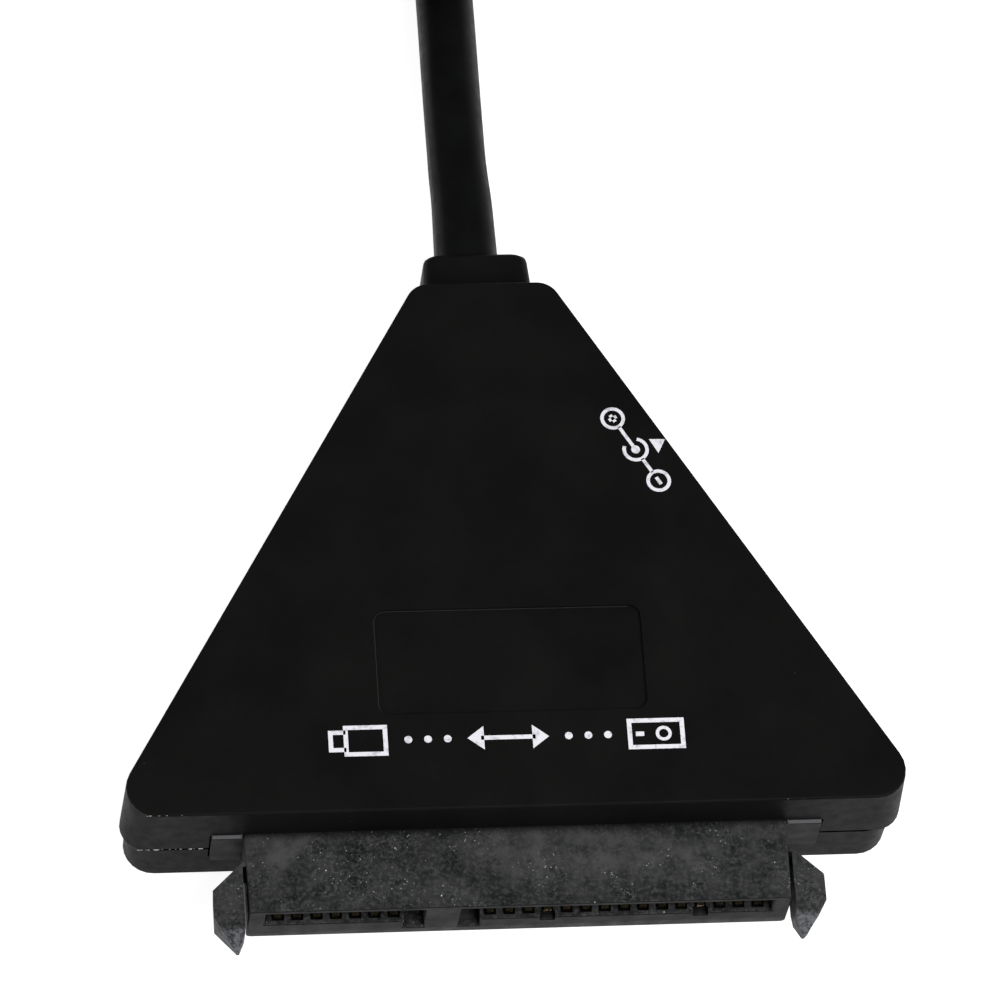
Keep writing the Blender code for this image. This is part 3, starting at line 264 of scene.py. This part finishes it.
class Surface:
    """A Principled material with short calls for its texture nodes, whose scale is in metres."""

    def __init__(self, name, colour, roughness, metallic=0.0, specular=0.5):
        self.material = bpy.data.materials.new(name)
        self.material.use_nodes = True
        self.tree = self.material.node_tree
        self.shader = self.tree.nodes["Principled BSDF"]
        self.shader.inputs["Base Color"].default_value = (*colour, 1)
        self.shader.inputs["Roughness"].default_value = roughness
        self.shader.inputs["Metallic"].default_value = metallic
        self.shader.inputs["Specular IOR Level"].default_value = specular
        self.place = self.tree.nodes.new("ShaderNodeTexCoord").outputs["Object"]
        self.height = None

    def noise(self, size, detail=2.0, roughness=0.5, stretch=(1, 1, 1)):
        """Noise whose lumps are about this size, stretched along the axes."""
        mapping = self.tree.nodes.new("ShaderNodeMapping")
        mapping.inputs["Scale"].default_value = stretch
        self.tree.links.new(self.place, mapping.inputs["Vector"])
        node = self.tree.nodes.new("ShaderNodeTexNoise")
        node.inputs["Scale"].default_value = 1 / size
        node.inputs["Detail"].default_value = detail
        node.inputs["Roughness"].default_value = roughness
        self.tree.links.new(mapping.outputs[0], node.inputs["Vector"])
        return node.outputs["Fac"]

    def across_and_along(self):
        """The place's distance from the middle plane, and its Y counted from the housing's front wall."""
        split = self.tree.nodes.new("ShaderNodeSeparateXYZ")
        self.tree.links.new(self.place, split.inputs[0])
        across = math_node(self.tree, "ABSOLUTE", split.outputs["X"])
        along = math_node(self.tree, "ADD", split.outputs["Y"], CENTRE_Y)
        return across, along

    def wisps(self, value, apart, width):
        """Thin lines where the value passes each step."""
        folded = math_node(self.tree, "PINGPONG", value, apart / 2)
        return self.span(folded, width, 0.0)

    def openness(self, reach):
        """1 on an open face, falling towards 0 in corners and slots."""
        node = self.tree.nodes.new("ShaderNodeAmbientOcclusion")
        node.samples = 8
        node.inputs["Distance"].default_value = reach
        return node.outputs["AO"]

    def cells(self, size):
        node = self.tree.nodes.new("ShaderNodeTexVoronoi")
        node.inputs["Scale"].default_value = 1 / size
        self.tree.links.new(self.place, node.inputs["Vector"])
        return node.outputs["Distance"]

    def product(self, first, second):
        return math_node(self.tree, "MULTIPLY", first, second)

    def span(self, value, low, high, to_low=0.0, to_high=1.0):
        node = self.tree.nodes.new("ShaderNodeMapRange")
        node.inputs["From Min"].default_value = low
        node.inputs["From Max"].default_value = high
        node.inputs["To Min"].default_value = to_low
        node.inputs["To Max"].default_value = to_high
        self.tree.links.new(value, node.inputs["Value"])
        return node.outputs["Result"]

    def blend(self, share, first, second):
        """A colour between two, each a colour or the output of a node."""
        node = self.tree.nodes.new("ShaderNodeMix")
        node.data_type = "RGBA"
        self.tree.links.new(share, node.inputs["Factor"])
        for socket, value in ((node.inputs[6], first), (node.inputs[7], second)):
            if isinstance(value, tuple):
                socket.default_value = (*value, 1)
            else:
                self.tree.links.new(value, socket)
        return node.outputs[2]

    def colour(self, output):
        self.tree.links.new(output, self.shader.inputs["Base Color"])

    def roughness(self, output):
        self.tree.links.new(output, self.shader.inputs["Roughness"])

    def bump(self, height, distance, strength=1.0):
        node = self.tree.nodes.new("ShaderNodeBump")
        node.inputs["Distance"].default_value = distance
        node.inputs["Strength"].default_value = strength
        self.tree.links.new(height, node.inputs["Height"])
        if self.height is not None:
            self.tree.links.new(self.height, node.inputs["Normal"])
        self.height = node.outputs["Normal"]
        self.tree.links.new(self.height, self.shader.inputs["Normal"])


def housing_plastic():
    """Black moulded plastic with a fine eroded grain and the odd speck of dust."""
    made = Surface("moulded_black", (0.005, 0.005, 0.005), 0.48, specular=0.038)
    cloud = made.noise(0.006, 3.0)
    dark = made.blend(made.span(cloud, 0.3, 0.7), (0.0044, 0.0044, 0.0043), (0.0066, 0.0070, 0.0064))
    speck = made.span(made.cells(0.0016), 0.035, 0.02)
    rare = made.span(made.noise(0.0035, 1.0), 0.62, 0.66)
    made.colour(made.blend(made.product(speck, rare), dark, (0.035, 0.035, 0.034)))
    made.roughness(made.span(made.noise(0.0007, 3.0), 0.3, 0.7, 0.42, 0.55))
    made.bump(made.noise(0.00016, 3.0, 0.6), 0.000008)
    made.bump(made.noise(0.004, 2.0), 0.00002, 0.15)
    return made.material


def connector_plastic():
    """Grey glass-filled plastic: wisps and clouds from the flow, the pale clouds only towards the back,
    clusters of bright fibre ends partly painted as glints, lighter patches on the tips, painted shade in the
    slots, on the mouth's face and on the flange's front, and a painted highlight on the flange's top.
    """
    made = Surface("glass_filled_grey", (0.03, 0.03, 0.03), 0.5, specular=0.06)
    across, along = made.across_and_along()
    thick = made.span(made.noise(0.0060, 2.0, 0.6), 0.40, 0.58)
    patches = made.product(thick, made.span(along, *PATCHES_FADE))
    flow = made.noise(0.0017, 5.0, 0.62)
    grey = made.blend(made.span(flow, 0.38, 0.62), (0.0085, 0.0098, 0.0094), (0.025, 0.0262, 0.0256))
    light = made.blend(made.span(flow, 0.38, 0.62), (0.023, 0.0243, 0.0238), (0.060, 0.0615, 0.060))
    cloudy = made.blend(patches, grey, light)
    fine = made.noise(0.00030, 3.0, 0.75)
    mottled = made.blend(made.span(fine, 0.46, 0.80), cloudy, (0.068, 0.070, 0.068))
    cluster = made.span(made.noise(0.0024, 2.0, 0.6), 0.47, 0.58)
    lines = made.product(made.wisps(flow, 0.11, 0.012), cluster)
    veined = made.blend(lines, mottled, (0.075, 0.079, 0.075))
    # Bright specks: glass fibre ends, partly their own pale colour and partly painted glint
    small = made.product(made.span(made.cells(0.00034), 0.17, 0.08), cluster)
    large = made.product(made.span(made.cells(0.0010), 0.055, 0.030), made.span(fine, 0.45, 0.52))
    specked = made.blend(large, made.blend(small, veined, (0.28, 0.29, 0.28)), (0.60, 0.61, 0.59))
    # Painted shade: darker in the slots and corners, where little light reaches
    slot_painted_shade = made.blend(made.span(made.openness(0.0012), 0.50, 0.78), (0.004, 0.004, 0.004), specked)
    # Painted shade: the body's front face round the slots darker
    face = made.product(made.span(along, *MOUTH_SHADE_FADE), made.span(across, *ON_BODY))
    plain = made.blend(face, slot_painted_shade, (0.008, 0.008, 0.009))
    # Painted shade: the flange's front face darker
    flange = made.product(made.span(along, *FLANGE_SHADE_FADE), made.span(across, *BESIDE_BODY))
    even = made.blend(flange, plain, (0.010, 0.010, 0.011))
    # Lighter in patches at the tips of the arms
    tips = made.product(made.span(along, *TIPS_FADE), made.span(fine, 0.34, 0.62))
    patchy = made.blend(tips, even, (0.125, 0.127, 0.140))
    # Painted highlight: the flange's top face lighter
    step = made.product(made.span(along, *STEP_HIGHLIGHT_FADE), made.span(across, *BESIDE_BODY))
    made.colour(made.blend(step, patchy, (0.110, 0.112, 0.117)))
    made.roughness(made.span(flow, 0.3, 0.7, 0.60, 0.38))
    made.bump(made.noise(0.00012, 3.0, 0.6), 0.000012)
    made.bump(made.noise(0.0009, 3.0), 0.000014, 0.6)
    return made.material


def soft_black(name, roughness, grain):
    """Black moulded or extruded soft plastic."""
    made = Surface(name, (0.004, 0.0042, 0.004), roughness, specular=0.07)
    cloud = made.noise(0.003, 3.0)
    made.colour(made.blend(made.span(cloud, 0.3, 0.7), (0.0020, 0.0021, 0.0021), (0.0040, 0.0044, 0.0043)))
    made.roughness(made.span(made.noise(0.0008, 2.0), 0.3, 0.7, roughness - 0.06, roughness + 0.08))
    made.bump(made.noise(grain, 2.0), 0.000010)
    return made.material


def metal(name, colour, roughness):
    """Plated metal with fine rolling lines and small changes of polish."""
    made = Surface(name, colour, roughness, metallic=1.0)
    patchy = made.noise(0.0012, 3.0)
    darker = tuple(0.88 * c for c in colour)
    made.colour(made.blend(made.span(patchy, 0.35, 0.75), colour, darker))
    made.roughness(made.span(patchy, 0.3, 0.7, roughness, roughness + 0.08))
    made.bump(made.noise(0.00025, 2.0, 0.5, (6.0, 0.6, 1.0)), 0.000004)
    return made.material


def plain_plastic(name, colour, roughness):
    made = Surface(name, colour, roughness)
    lighter = tuple(min(1.0, 1.25 * c) for c in colour)
    made.colour(made.blend(made.span(made.noise(0.0015, 3.0), 0.3, 0.7), colour, lighter))
    made.roughness(made.span(made.noise(0.0006, 2.0), 0.3, 0.7, roughness - 0.05, roughness + 0.08))
    made.bump(made.noise(0.0002, 2.0), 0.000006)
    return made.material


def board_mask():
    """Green solder mask over faint copper tracks."""
    made = Surface("solder_mask", (0.02, 0.13, 0.05), 0.35)
    tracks = made.cells(0.0022)
    made.colour(made.blend(made.span(tracks, 0.28, 0.32), (0.014, 0.10, 0.035), (0.03, 0.17, 0.06)))
    made.bump(tracks, 0.00002, 0.4)
    made.roughness(made.span(made.noise(0.001, 2.0), 0.3, 0.7, 0.28, 0.4))
    return made.material


def tie_fabric():
    """Black hook-and-loop strap with a fine loop pile."""
    made = Surface("strap_black", (0.012, 0.012, 0.012), 0.85, specular=0.2)
    loops = made.noise(0.00018, 3.0, 0.7)
    made.colour(made.blend(made.span(loops, 0.4, 0.7), (0.006, 0.006, 0.006), (0.03, 0.03, 0.03)))
    made.bump(loops, 0.00006)
    made.roughness(made.span(loops, 0.3, 0.7, 0.95, 0.75))
    return made.material


def print_white():
    """White screen print, a little uneven and thinner in places."""
    made = Surface("print_white", (0.62, 0.62, 0.66), 0.55)
    thin = made.noise(0.00035, 3.0)
    made.colour(made.blend(made.span(thin, 0.32, 0.5), (0.52, 0.52, 0.56), (0.80, 0.80, 0.85)))
    made.roughness(made.span(thin, 0.3, 0.7, 0.6, 0.45))
    made.bump(thin, 0.000004)
    return made.material


def dress_nodes():
    """Gives every solid its finish and smooths its round faces."""
    gold = metal("gold_plate", (0.85, 0.68, 0.40), 0.16)
    nickel = metal("nickel_plate", (0.60, 0.60, 0.61), 0.22)
    housing = housing_plastic()
    moulded = soft_black("overmould_black", 0.5, 0.00022)
    finishes = {
        "lower_shell": housing,
        "upper_shell": housing,
        "drive_connector_housing": connector_plastic(),
        "circuit_board": board_mask(),
        "bridge_chip": plain_plastic("epoxy_black", (0.02, 0.02, 0.02), 0.5),
        "crystal": nickel,
        "inductor": plain_plastic("ferrite_grey", (0.06, 0.06, 0.065), 0.6),
        "capacitor_1": plain_plastic("ceramic_tan", (0.45, 0.33, 0.20), 0.4),
        "power_jack_housing": plain_plastic("jack_black", (0.015, 0.015, 0.015), 0.45),
        "power_jack_pin": nickel,
        "power_jack_spring": nickel,
        "cable_gland": housing,
        "plug_overmould": moulded,
        "plug_shell": nickel,
        "plug_tongue": plain_plastic("tongue_blue", (0.02, 0.12, 0.42), 0.4),
        "cable_tie": tie_fabric(),
        "ground_wire": plain_plastic("wire_black", (0.02, 0.02, 0.02), 0.45),
        "transmit_pair": plain_plastic("wire_blue", (0.03, 0.10, 0.40), 0.45),
        "data_pair": plain_plastic("wire_white", (0.70, 0.70, 0.68), 0.45),
        "receive_pair": plain_plastic("wire_green", (0.03, 0.28, 0.08), 0.45),
        "supply_wire": plain_plastic("wire_red", (0.45, 0.03, 0.02), 0.45),
    }
    finishes["memory_chip"] = finishes["voltage_regulator"] = finishes["bridge_chip"]
    finishes["capacitor_2"] = finishes["capacitor_1"]
    for name, node in nodes.items():
        finish = finishes.get(name, gold if "contact" in name else moulded)
        node.data.materials.clear()
        node.data.materials.append(finish)
        smooth_by_angle(node)


def rounding_group():
    """Nodes that join split corners and shade smooth across every edge but the sharp ones."""
    group = bpy.data.node_groups.new("smooth by angle", "GeometryNodeTree")
    group.interface.new_socket("Geometry", in_out="INPUT", socket_type="NodeSocketGeometry")
    group.interface.new_socket("Geometry", in_out="OUTPUT", socket_type="NodeSocketGeometry")
    start = group.nodes.new("NodeGroupInput")
    end = group.nodes.new("NodeGroupOutput")
    merge = group.nodes.new("GeometryNodeMergeByDistance")
    merge.inputs["Distance"].default_value = MERGE_DISTANCE
    plain = group.nodes.new("GeometryNodeRemoveAttribute")
    plain.inputs["Name"].default_value = "custom_normal"
    faces = group.nodes.new("GeometryNodeSetShadeSmooth")
    edges = group.nodes.new("GeometryNodeSetShadeSmooth")
    edges.domain = "EDGE"
    edges.inputs["Shade Smooth"].default_value = False
    angle = group.nodes.new("GeometryNodeInputMeshEdgeAngle")
    sharp = group.nodes.new("FunctionNodeCompare")
    sharp.operation = "GREATER_THAN"
    sharp.inputs[1].default_value = math.radians(SHARP_FROM)
    group.links.new(start.outputs[0], merge.inputs["Geometry"])
    group.links.new(merge.outputs[0], plain.inputs["Geometry"])
    group.links.new(plain.outputs[0], faces.inputs["Geometry"])
    group.links.new(faces.outputs[0], edges.inputs["Geometry"])
    group.links.new(angle.outputs["Unsigned Angle"], sharp.inputs[0])
    group.links.new(sharp.outputs[0], edges.inputs["Selection"])
    group.links.new(edges.outputs[0], end.inputs[0])
    return group


def smooth_by_angle(node):
    step = node.modifiers.new("smooth by angle", "NODES")
    step.node_group = bpy.data.node_groups.get("smooth by angle") or rounding_group()


def soften_edges(name, width):
    """A small round on a moulding's sharp edges."""
    step = nodes[name].modifiers.new("edge round", "BEVEL")
    step.width = width
    step.segments = 2
    step.limit_method = "ANGLE"
    step.angle_limit = math.radians(ROUNDED_FROM)
    step.harden_normals = True
    step.use_clamp_overlap = True
    even = nodes[name].modifiers.new("flat faces", "WEIGHTED_NORMAL")
    even.keep_sharp = True


# Cable


def coil_points():
    """The turns: outer and inner below, then inner and outer above, a strand's width apart."""
    def eased(value, start, end):
        t = min(1.0, max(0.0, (value - start) / (end - start)))
        return t * t * (3 - 2 * t)

    points = []
    for degrees in range(0, COIL_DEGREES + 1, COIL_STEP):
        inward = eased(degrees, *COIL_INWARD) - eased(degrees, *COIL_OUTWARD)
        radius = COIL_OUTER + (COIL_INNER - COIL_OUTER) * inward
        z = COIL_LOW + (COIL_HIGH - COIL_LOW) * eased(degrees, *COIL_UPWARD)
        angle = math.radians(degrees)
        points.append((
            COIL_CENTRE[0] + radius * math.cos(angle),
            COIL_CENTRE[1] + radius * math.sin(angle),
            z,
        ))
    return points


def smooth_through(points, steps):
    """A smooth curve through the points, with this many steps between each two."""
    given = [Vector(p) for p in points]
    given = [2 * given[0] - given[1]] + given + [2 * given[-1] - given[-2]]
    fine = []
    for before, start, end, after in zip(given, given[1:], given[2:], given[3:]):
        for k in range(steps):
            t = k / steps
            leaving, arriving = (end - before) / 2, (after - start) / 2
            fine.append(
                start * (2 * t**3 - 3 * t**2 + 1) + leaving * (t**3 - 2 * t**2 + t)
                + end * (3 * t**2 - 2 * t**3) + arriving * (t**3 - t**2)
            )
    fine.append(given[-2])
    return fine


def make_cable():
    route = smooth_through([*ROUTE_OUT, *coil_points(), *ROUTE_BACK], ROUTE_STEPS)
    curve = bpy.data.curves.new("whole_cable", "CURVE")
    curve.dimensions = "3D"
    curve.bevel_depth = CABLE_DIAMETER / 2
    curve.bevel_resolution = 6
    curve.use_fill_caps = True
    spline = curve.splines.new("POLY")
    spline.points.add(len(route) - 1)
    for place, point in zip(spline.points, route):
        place.co = (*to_world(*point), 1)
        past = (point.y - SWELL_START) / (SWELL_END - SWELL_START)
        place.radius = 1 + SWELL * (1 - min(1.0, max(0.0, past)))
    spline.use_smooth = True
    curve.materials.append(soft_black("jacket_black", 0.42, 0.0003))
    cable = bpy.data.objects.new("whole_cable", curve)
    bpy.context.scene.collection.objects.link(cable)
    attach(cable, "root")
    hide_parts("cable", "cable_coil", "cable_tail")
    on_cable = ["plug_overmould", "plug_shell", "plug_tongue", "cable_tie", "cable_gland"]
    on_cable += [name for name in nodes if name.startswith("plug_") and "contact" in name]


# Printed marks on the top, and a painted highlight round the label field


def ribbon(points, width, closed=False):
    """Quads along a line of points, with mitred bends, as pairs of 2-D corners."""
    line = [Vector(p) for p in points]
    count = len(line)
    edges = []
    for i, point in enumerate(line):
        before = line[i - 1] if i or closed else None
        after = line[(i + 1) % count] if i + 1 < count or closed else None
        a = (point - before).normalized() if before else (after - point).normalized()
        b = (after - point).normalized() if after else a
        first, second = Vector((-a.y, a.x)), Vector((-b.y, b.x))
        shift = (first + second) * (width / 2) / max(0.3, 1 + first.dot(second))
        edges.append((point + shift, point - shift))
    pairs = list(zip(edges, edges[1:]))
    if closed:
        pairs.append((edges[-1], edges[0]))
    return [(a[0], b[0], b[1], a[1]) for a, b in pairs]


def disc(x, y, radius, steps=20):
    angles = [2 * math.pi * k / steps for k in range(steps)]
    return [tuple(Vector((x + radius * math.cos(a), y + radius * math.sin(a))) for a in angles)]


def ring(x, y, radius, width, start=0, end=360, steps=28):
    whole = end - start >= 360
    count = steps if whole else steps + 1
    angles = [math.radians(start + (end - start) * k / steps) for k in range(count)]
    points = [(x + radius * math.cos(a), y + radius * math.sin(a)) for a in angles]
    return ribbon(points, width, closed=whole)


def frame_shape(x, y, width, height, stroke):
    u, v = width / 2, height / 2
    return ribbon([(x - u, y - v), (x + u, y - v), (x + u, y + v), (x - u, y + v)], stroke, closed=True)


def filled(points):
    return [tuple(Vector(p) for p in points)]


def connection_marks():
    """A row of plain pictograms: a drive, a two-way arrow between dots, and a plug, in millimetres."""
    stroke = 0.30
    shapes = frame_shape(-10.4, 0, 3.5, 1.9, stroke) + ring(-10.9, 0, 0.42, 0.22)
    shapes += filled([(-9.6, -0.16), (-9.05, -0.16), (-9.05, 0.16), (-9.6, 0.16)])
    for x in (-7.2, -5.9, -4.6, 3.4, 4.7, 6.0):
        shapes += disc(x, 0, 0.26)
    shapes += ribbon([(-2.4, 0), (1.2, 0)], stroke)
    shapes += filled([(-3.3, 0), (-2.2, -0.85), (-2.2, 0.85)])
    shapes += filled([(2.1, 0), (1.0, 0.85), (1.0, -0.85)])
    shapes += frame_shape(8.8, 0, 2.6, 1.9, stroke)
    shapes += ribbon([(10.1, 0.62), (11.1, 0.62), (11.1, -0.62), (10.1, -0.62)], stroke)
    return shapes


def polarity_marks():
    """The usual polarity sketch of a round power plug with a positive centre, in millimetres."""
    stroke = 0.24
    shapes = ring(-2.75, 0, 0.72, stroke) + ribbon([(-3.05, 0), (-2.45, 0)], stroke)
    shapes += ring(2.75, 0, 0.72, stroke) + ribbon([(2.45, 0), (3.05, 0)], stroke)
    shapes += ribbon([(2.75, -0.30), (2.75, 0.30)], stroke)
    shapes += ring(0, 0, 0.78, stroke, 40, 320) + disc(0, 0, 0.30)
    shapes += ribbon([(-2.0, 0), (-0.80, 0)], stroke) + ribbon([(0.28, 0), (2.0, 0)], stroke)
    return shapes


def field_rim():
    """The painted highlight line round the label field, open at the right, in millimetres."""
    reach = (FIELD_HALF_WIDTH - RIM_INSET) / MM
    low, high = (FIELD_FRONT + RIM_INSET) / MM, (FIELD_FRONT + FIELD_LENGTH - RIM_INSET) / MM
    radius = (FIELD_CORNER_RADIUS - RIM_INSET) / MM
    line = [(reach - radius, high)]
    for y, start in ((high - radius, 90), (low + radius, 180)):
        for step in range(7):
            angle = math.radians(start + 15 * step)
            line.append((radius - reach + radius * math.cos(angle), y + radius * math.sin(angle)))
    line.append((reach - radius, low))
    return ribbon(line, RIM_WIDTH / MM)


def make_print(name, shapes, centre, along, ink, level=HOUSING_HEIGHT):
    """A thin film on a level face, its X axis along the given direction."""
    across = Vector((-along.y, along.x))
    vertices, faces = [], []
    for shape in shapes:
        start, count = len(vertices), len(shape)
        for z in (0.0, PRINT_THICKNESS):
            for corner in shape:
                spot = Vector(centre) + along * corner.x * MM + across * corner.y * MM
                vertices.append(to_world(spot.x, spot.y, level + z))
        faces.append([start + k for k in range(count)][::-1])
        faces.append([start + count + k for k in range(count)])
        for k in range(count):
            following = (k + 1) % count
            faces.append([start + k, start + following, start + count + following, start + count + k])
    mesh = bpy.data.meshes.new(name)
    mesh.from_pydata(vertices, [], faces)
    add_piece(name, mesh, ink)


def make_prints():
    ink = print_white()
    make_print("print_connection", connection_marks(), CONNECTION_MARKS, Vector((-1, 0)), ink)
    side = Vector((BACK_HALF_WIDTH - FRONT_HALF_WIDTH, HOUSING_LENGTH)).normalized()
    make_print("print_polarity", polarity_marks(), POLARITY_MARKS, side, ink)
    arrow = filled([(10.51, 26.66), (11.61, 26.63), (11.08, 25.60)])
    make_print("print_arrow", arrow, (0, 0), Vector((1, 0)), ink)
    # Painted highlight: a pale line round the foot of the label field's wall
    rim = plain_plastic("field_rim_painted_highlight", (0.0085, 0.0090, 0.0088), 0.45)
    make_print("field_rim", field_rim(), (0, 0), Vector((1, 0)), rim, HOUSING_HEIGHT - FIELD_DEPTH)


# Painted shadow in the seam, and flash and burrs with a painted glint, at the front edges


def seam_line():
    """Points and outward directions along the lower shell's edge, round both front corners."""
    def aside(y):
        slope = (FRONT_HALF_WIDTH - BACK_HALF_WIDTH) / HOUSING_LENGTH
        return FRONT_HALF_WIDTH - slope * y - SEAM_INSET * math.hypot(1, slope)

    radius = FRONT_CORNER_RADIUS - SEAM_INSET
    corner = Vector((aside(SEAM_INSET), SEAM_INSET))
    far = Vector((aside(SEAM_RUN_BACK), SEAM_RUN_BACK))
    back = (far - corner).normalized()
    half_angle = back.angle(Vector((-1, 0))) / 2
    centre = corner + (back + Vector((-1, 0))).normalized() * radius / math.sin(half_angle)
    outward = Vector((back.y, -back.x))
    turn = math.atan2(outward.y, outward.x) + math.pi / 2
    line = [(far, outward)]
    for k in range(CORNER_STEPS + 1):
        angle = -math.pi / 2 + turn * (1 - k / CORNER_STEPS)
        direction = Vector((math.cos(angle), math.sin(angle)))
        line.append((centre + direction * radius, direction))
    mirrored = [(Vector((-p.x, p.y)), Vector((-d.x, d.y))) for p, d in reversed(line)]
    return line + mirrored


def make_seam():
    """A painted shadow in the seam: a dark line under the upper shell's foot, a thin film round the front
    corners.
    """
    corners = []
    section = (
        (SEAM_PROUD, SEAM_LOW), (SEAM_PROUD, SEAM_HIGH),
        (-SEAM_SUNK, SEAM_HIGH), (-SEAM_SUNK, SEAM_LOW),
    )
    for point, outward in seam_line():
        for reach, z in section:
            spot = point + outward * reach
            corners.append(to_world(spot.x, spot.y, z))
    count = len(corners) // 4
    faces = [(0, 1, 2, 3), tuple(4 * (count - 1) + k for k in (3, 2, 1, 0))]
    for i in range(count - 1):
        for k in range(4):
            following = (k + 1) % 4
            faces.append((4 * i + k, 4 * i + 4 + k, 4 * i + 4 + following, 4 * i + following))
    mesh = bpy.data.meshes.new("seam_line")
    mesh.from_pydata(corners, [], faces)
    # Painted shadow: near black, matt, unevenly dark
    made = Surface("seam_painted_shadow", (0.0006, 0.0006, 0.0006), 0.95, specular=0.0)
    patchy = made.noise(0.0006, 2.0)
    made.colour(made.blend(made.span(patchy, 0.35, 0.7), (0.0005, 0.0005, 0.0005), (0.0030, 0.0030, 0.0030)))
    add_piece("seam_line", mesh, made.material)


# The flash sits just above the seam, and each bead's middle lies a little inside its edge
FLASH_HEIGHT = 0.0044
FLASH_SINK = 0.00002
BURR_SINK = 0.00006

# Each bead's middle along X, its length and its thickness, in millimetres
PARTING_FLASH = (
    (-24.72, 0.44, 0.07), (-24.18, 0.30, 0.09), (-23.63, 0.50, 0.14), (-23.24, 0.14, 0.05),
    (-22.72, 0.16, 0.05), (-22.34, 0.12, 0.05), (-22.03, 0.18, 0.08), (-21.39, 0.30, 0.13),
    (-21.13, 0.12, 0.04), (-20.71, 0.36, 0.10),
)
TOP_BURRS = (
    (-24.30, 0.40, 0.07), (-23.64, 0.24, 0.05), (-23.14, 0.16, 0.05), (-22.15, 0.11, 0.04),
    (-20.90, 0.35, 0.02), (17.65, 0.12, 0.03), (18.72, 0.12, 0.03),
)


def bead_plastic():
    """Torn, shiny plastic, its pale patches a painted glint."""
    made = Surface("flash_painted_glint", (0.4, 0.4, 0.4), 0.22, specular=0.8)
    glint = made.noise(0.00010, 2.0)
    made.colour(made.blend(made.span(glint, 0.42, 0.60), (0.03, 0.03, 0.03), (0.42, 0.42, 0.41)))
    made.roughness(made.span(glint, 0.3, 0.7, 0.35, 0.18))
    return made.material


def make_beads(name, beads, y, z, finish):
    """Ragged little beads of plastic in a row along the front wall."""
    seeded = random.Random(name)
    whole = bmesh.new()
    for middle, length, thickness in beads:
        for corner in bmesh.ops.create_icosphere(whole, subdivisions=2, radius=0.5)["verts"]:
            ragged = thickness * seeded.uniform(0.5, 1.4) * MM
            x = (middle + corner.co.x * length * seeded.uniform(0.8, 1.1)) * MM
            corner.co = to_world(x, y + corner.co.y * ragged, z + corner.co.z * ragged)
    mesh = bpy.data.meshes.new(name)
    whole.to_mesh(mesh)
    whole.free()
    mesh.shade_smooth()
    add_piece(name, mesh, finish)


def make_flash():
    # Flash and burrs, their pale colour a painted glint
    finish = bead_plastic()
    make_beads("mould_flash", PARTING_FLASH, FLASH_SINK, FLASH_HEIGHT, finish)
    make_beads("edge_burrs", TOP_BURRS, BURR_SINK, HOUSING_HEIGHT - BURR_SINK, finish)


def main():
    bpy.context.scene.view_settings.view_transform = "Standard"
    make_camera()
    make_world()
    make_lamp("key", azimuth=38, elevation=52, distance=0.30, size=0.20, energy=0.72)
    make_lamp("fill", azimuth=-75, elevation=38, distance=0.9, size=0.7, energy=2.0)
    make_floor()
    make_cable()
    dress_nodes()
    soften_edges("upper_shell", SHELL_ROUND)
    soften_edges("lower_shell", SHELL_ROUND)
    soften_edges("drive_connector_housing", CONNECTOR_ROUND)
    make_prints()
    make_seam()
    make_flash()


main()
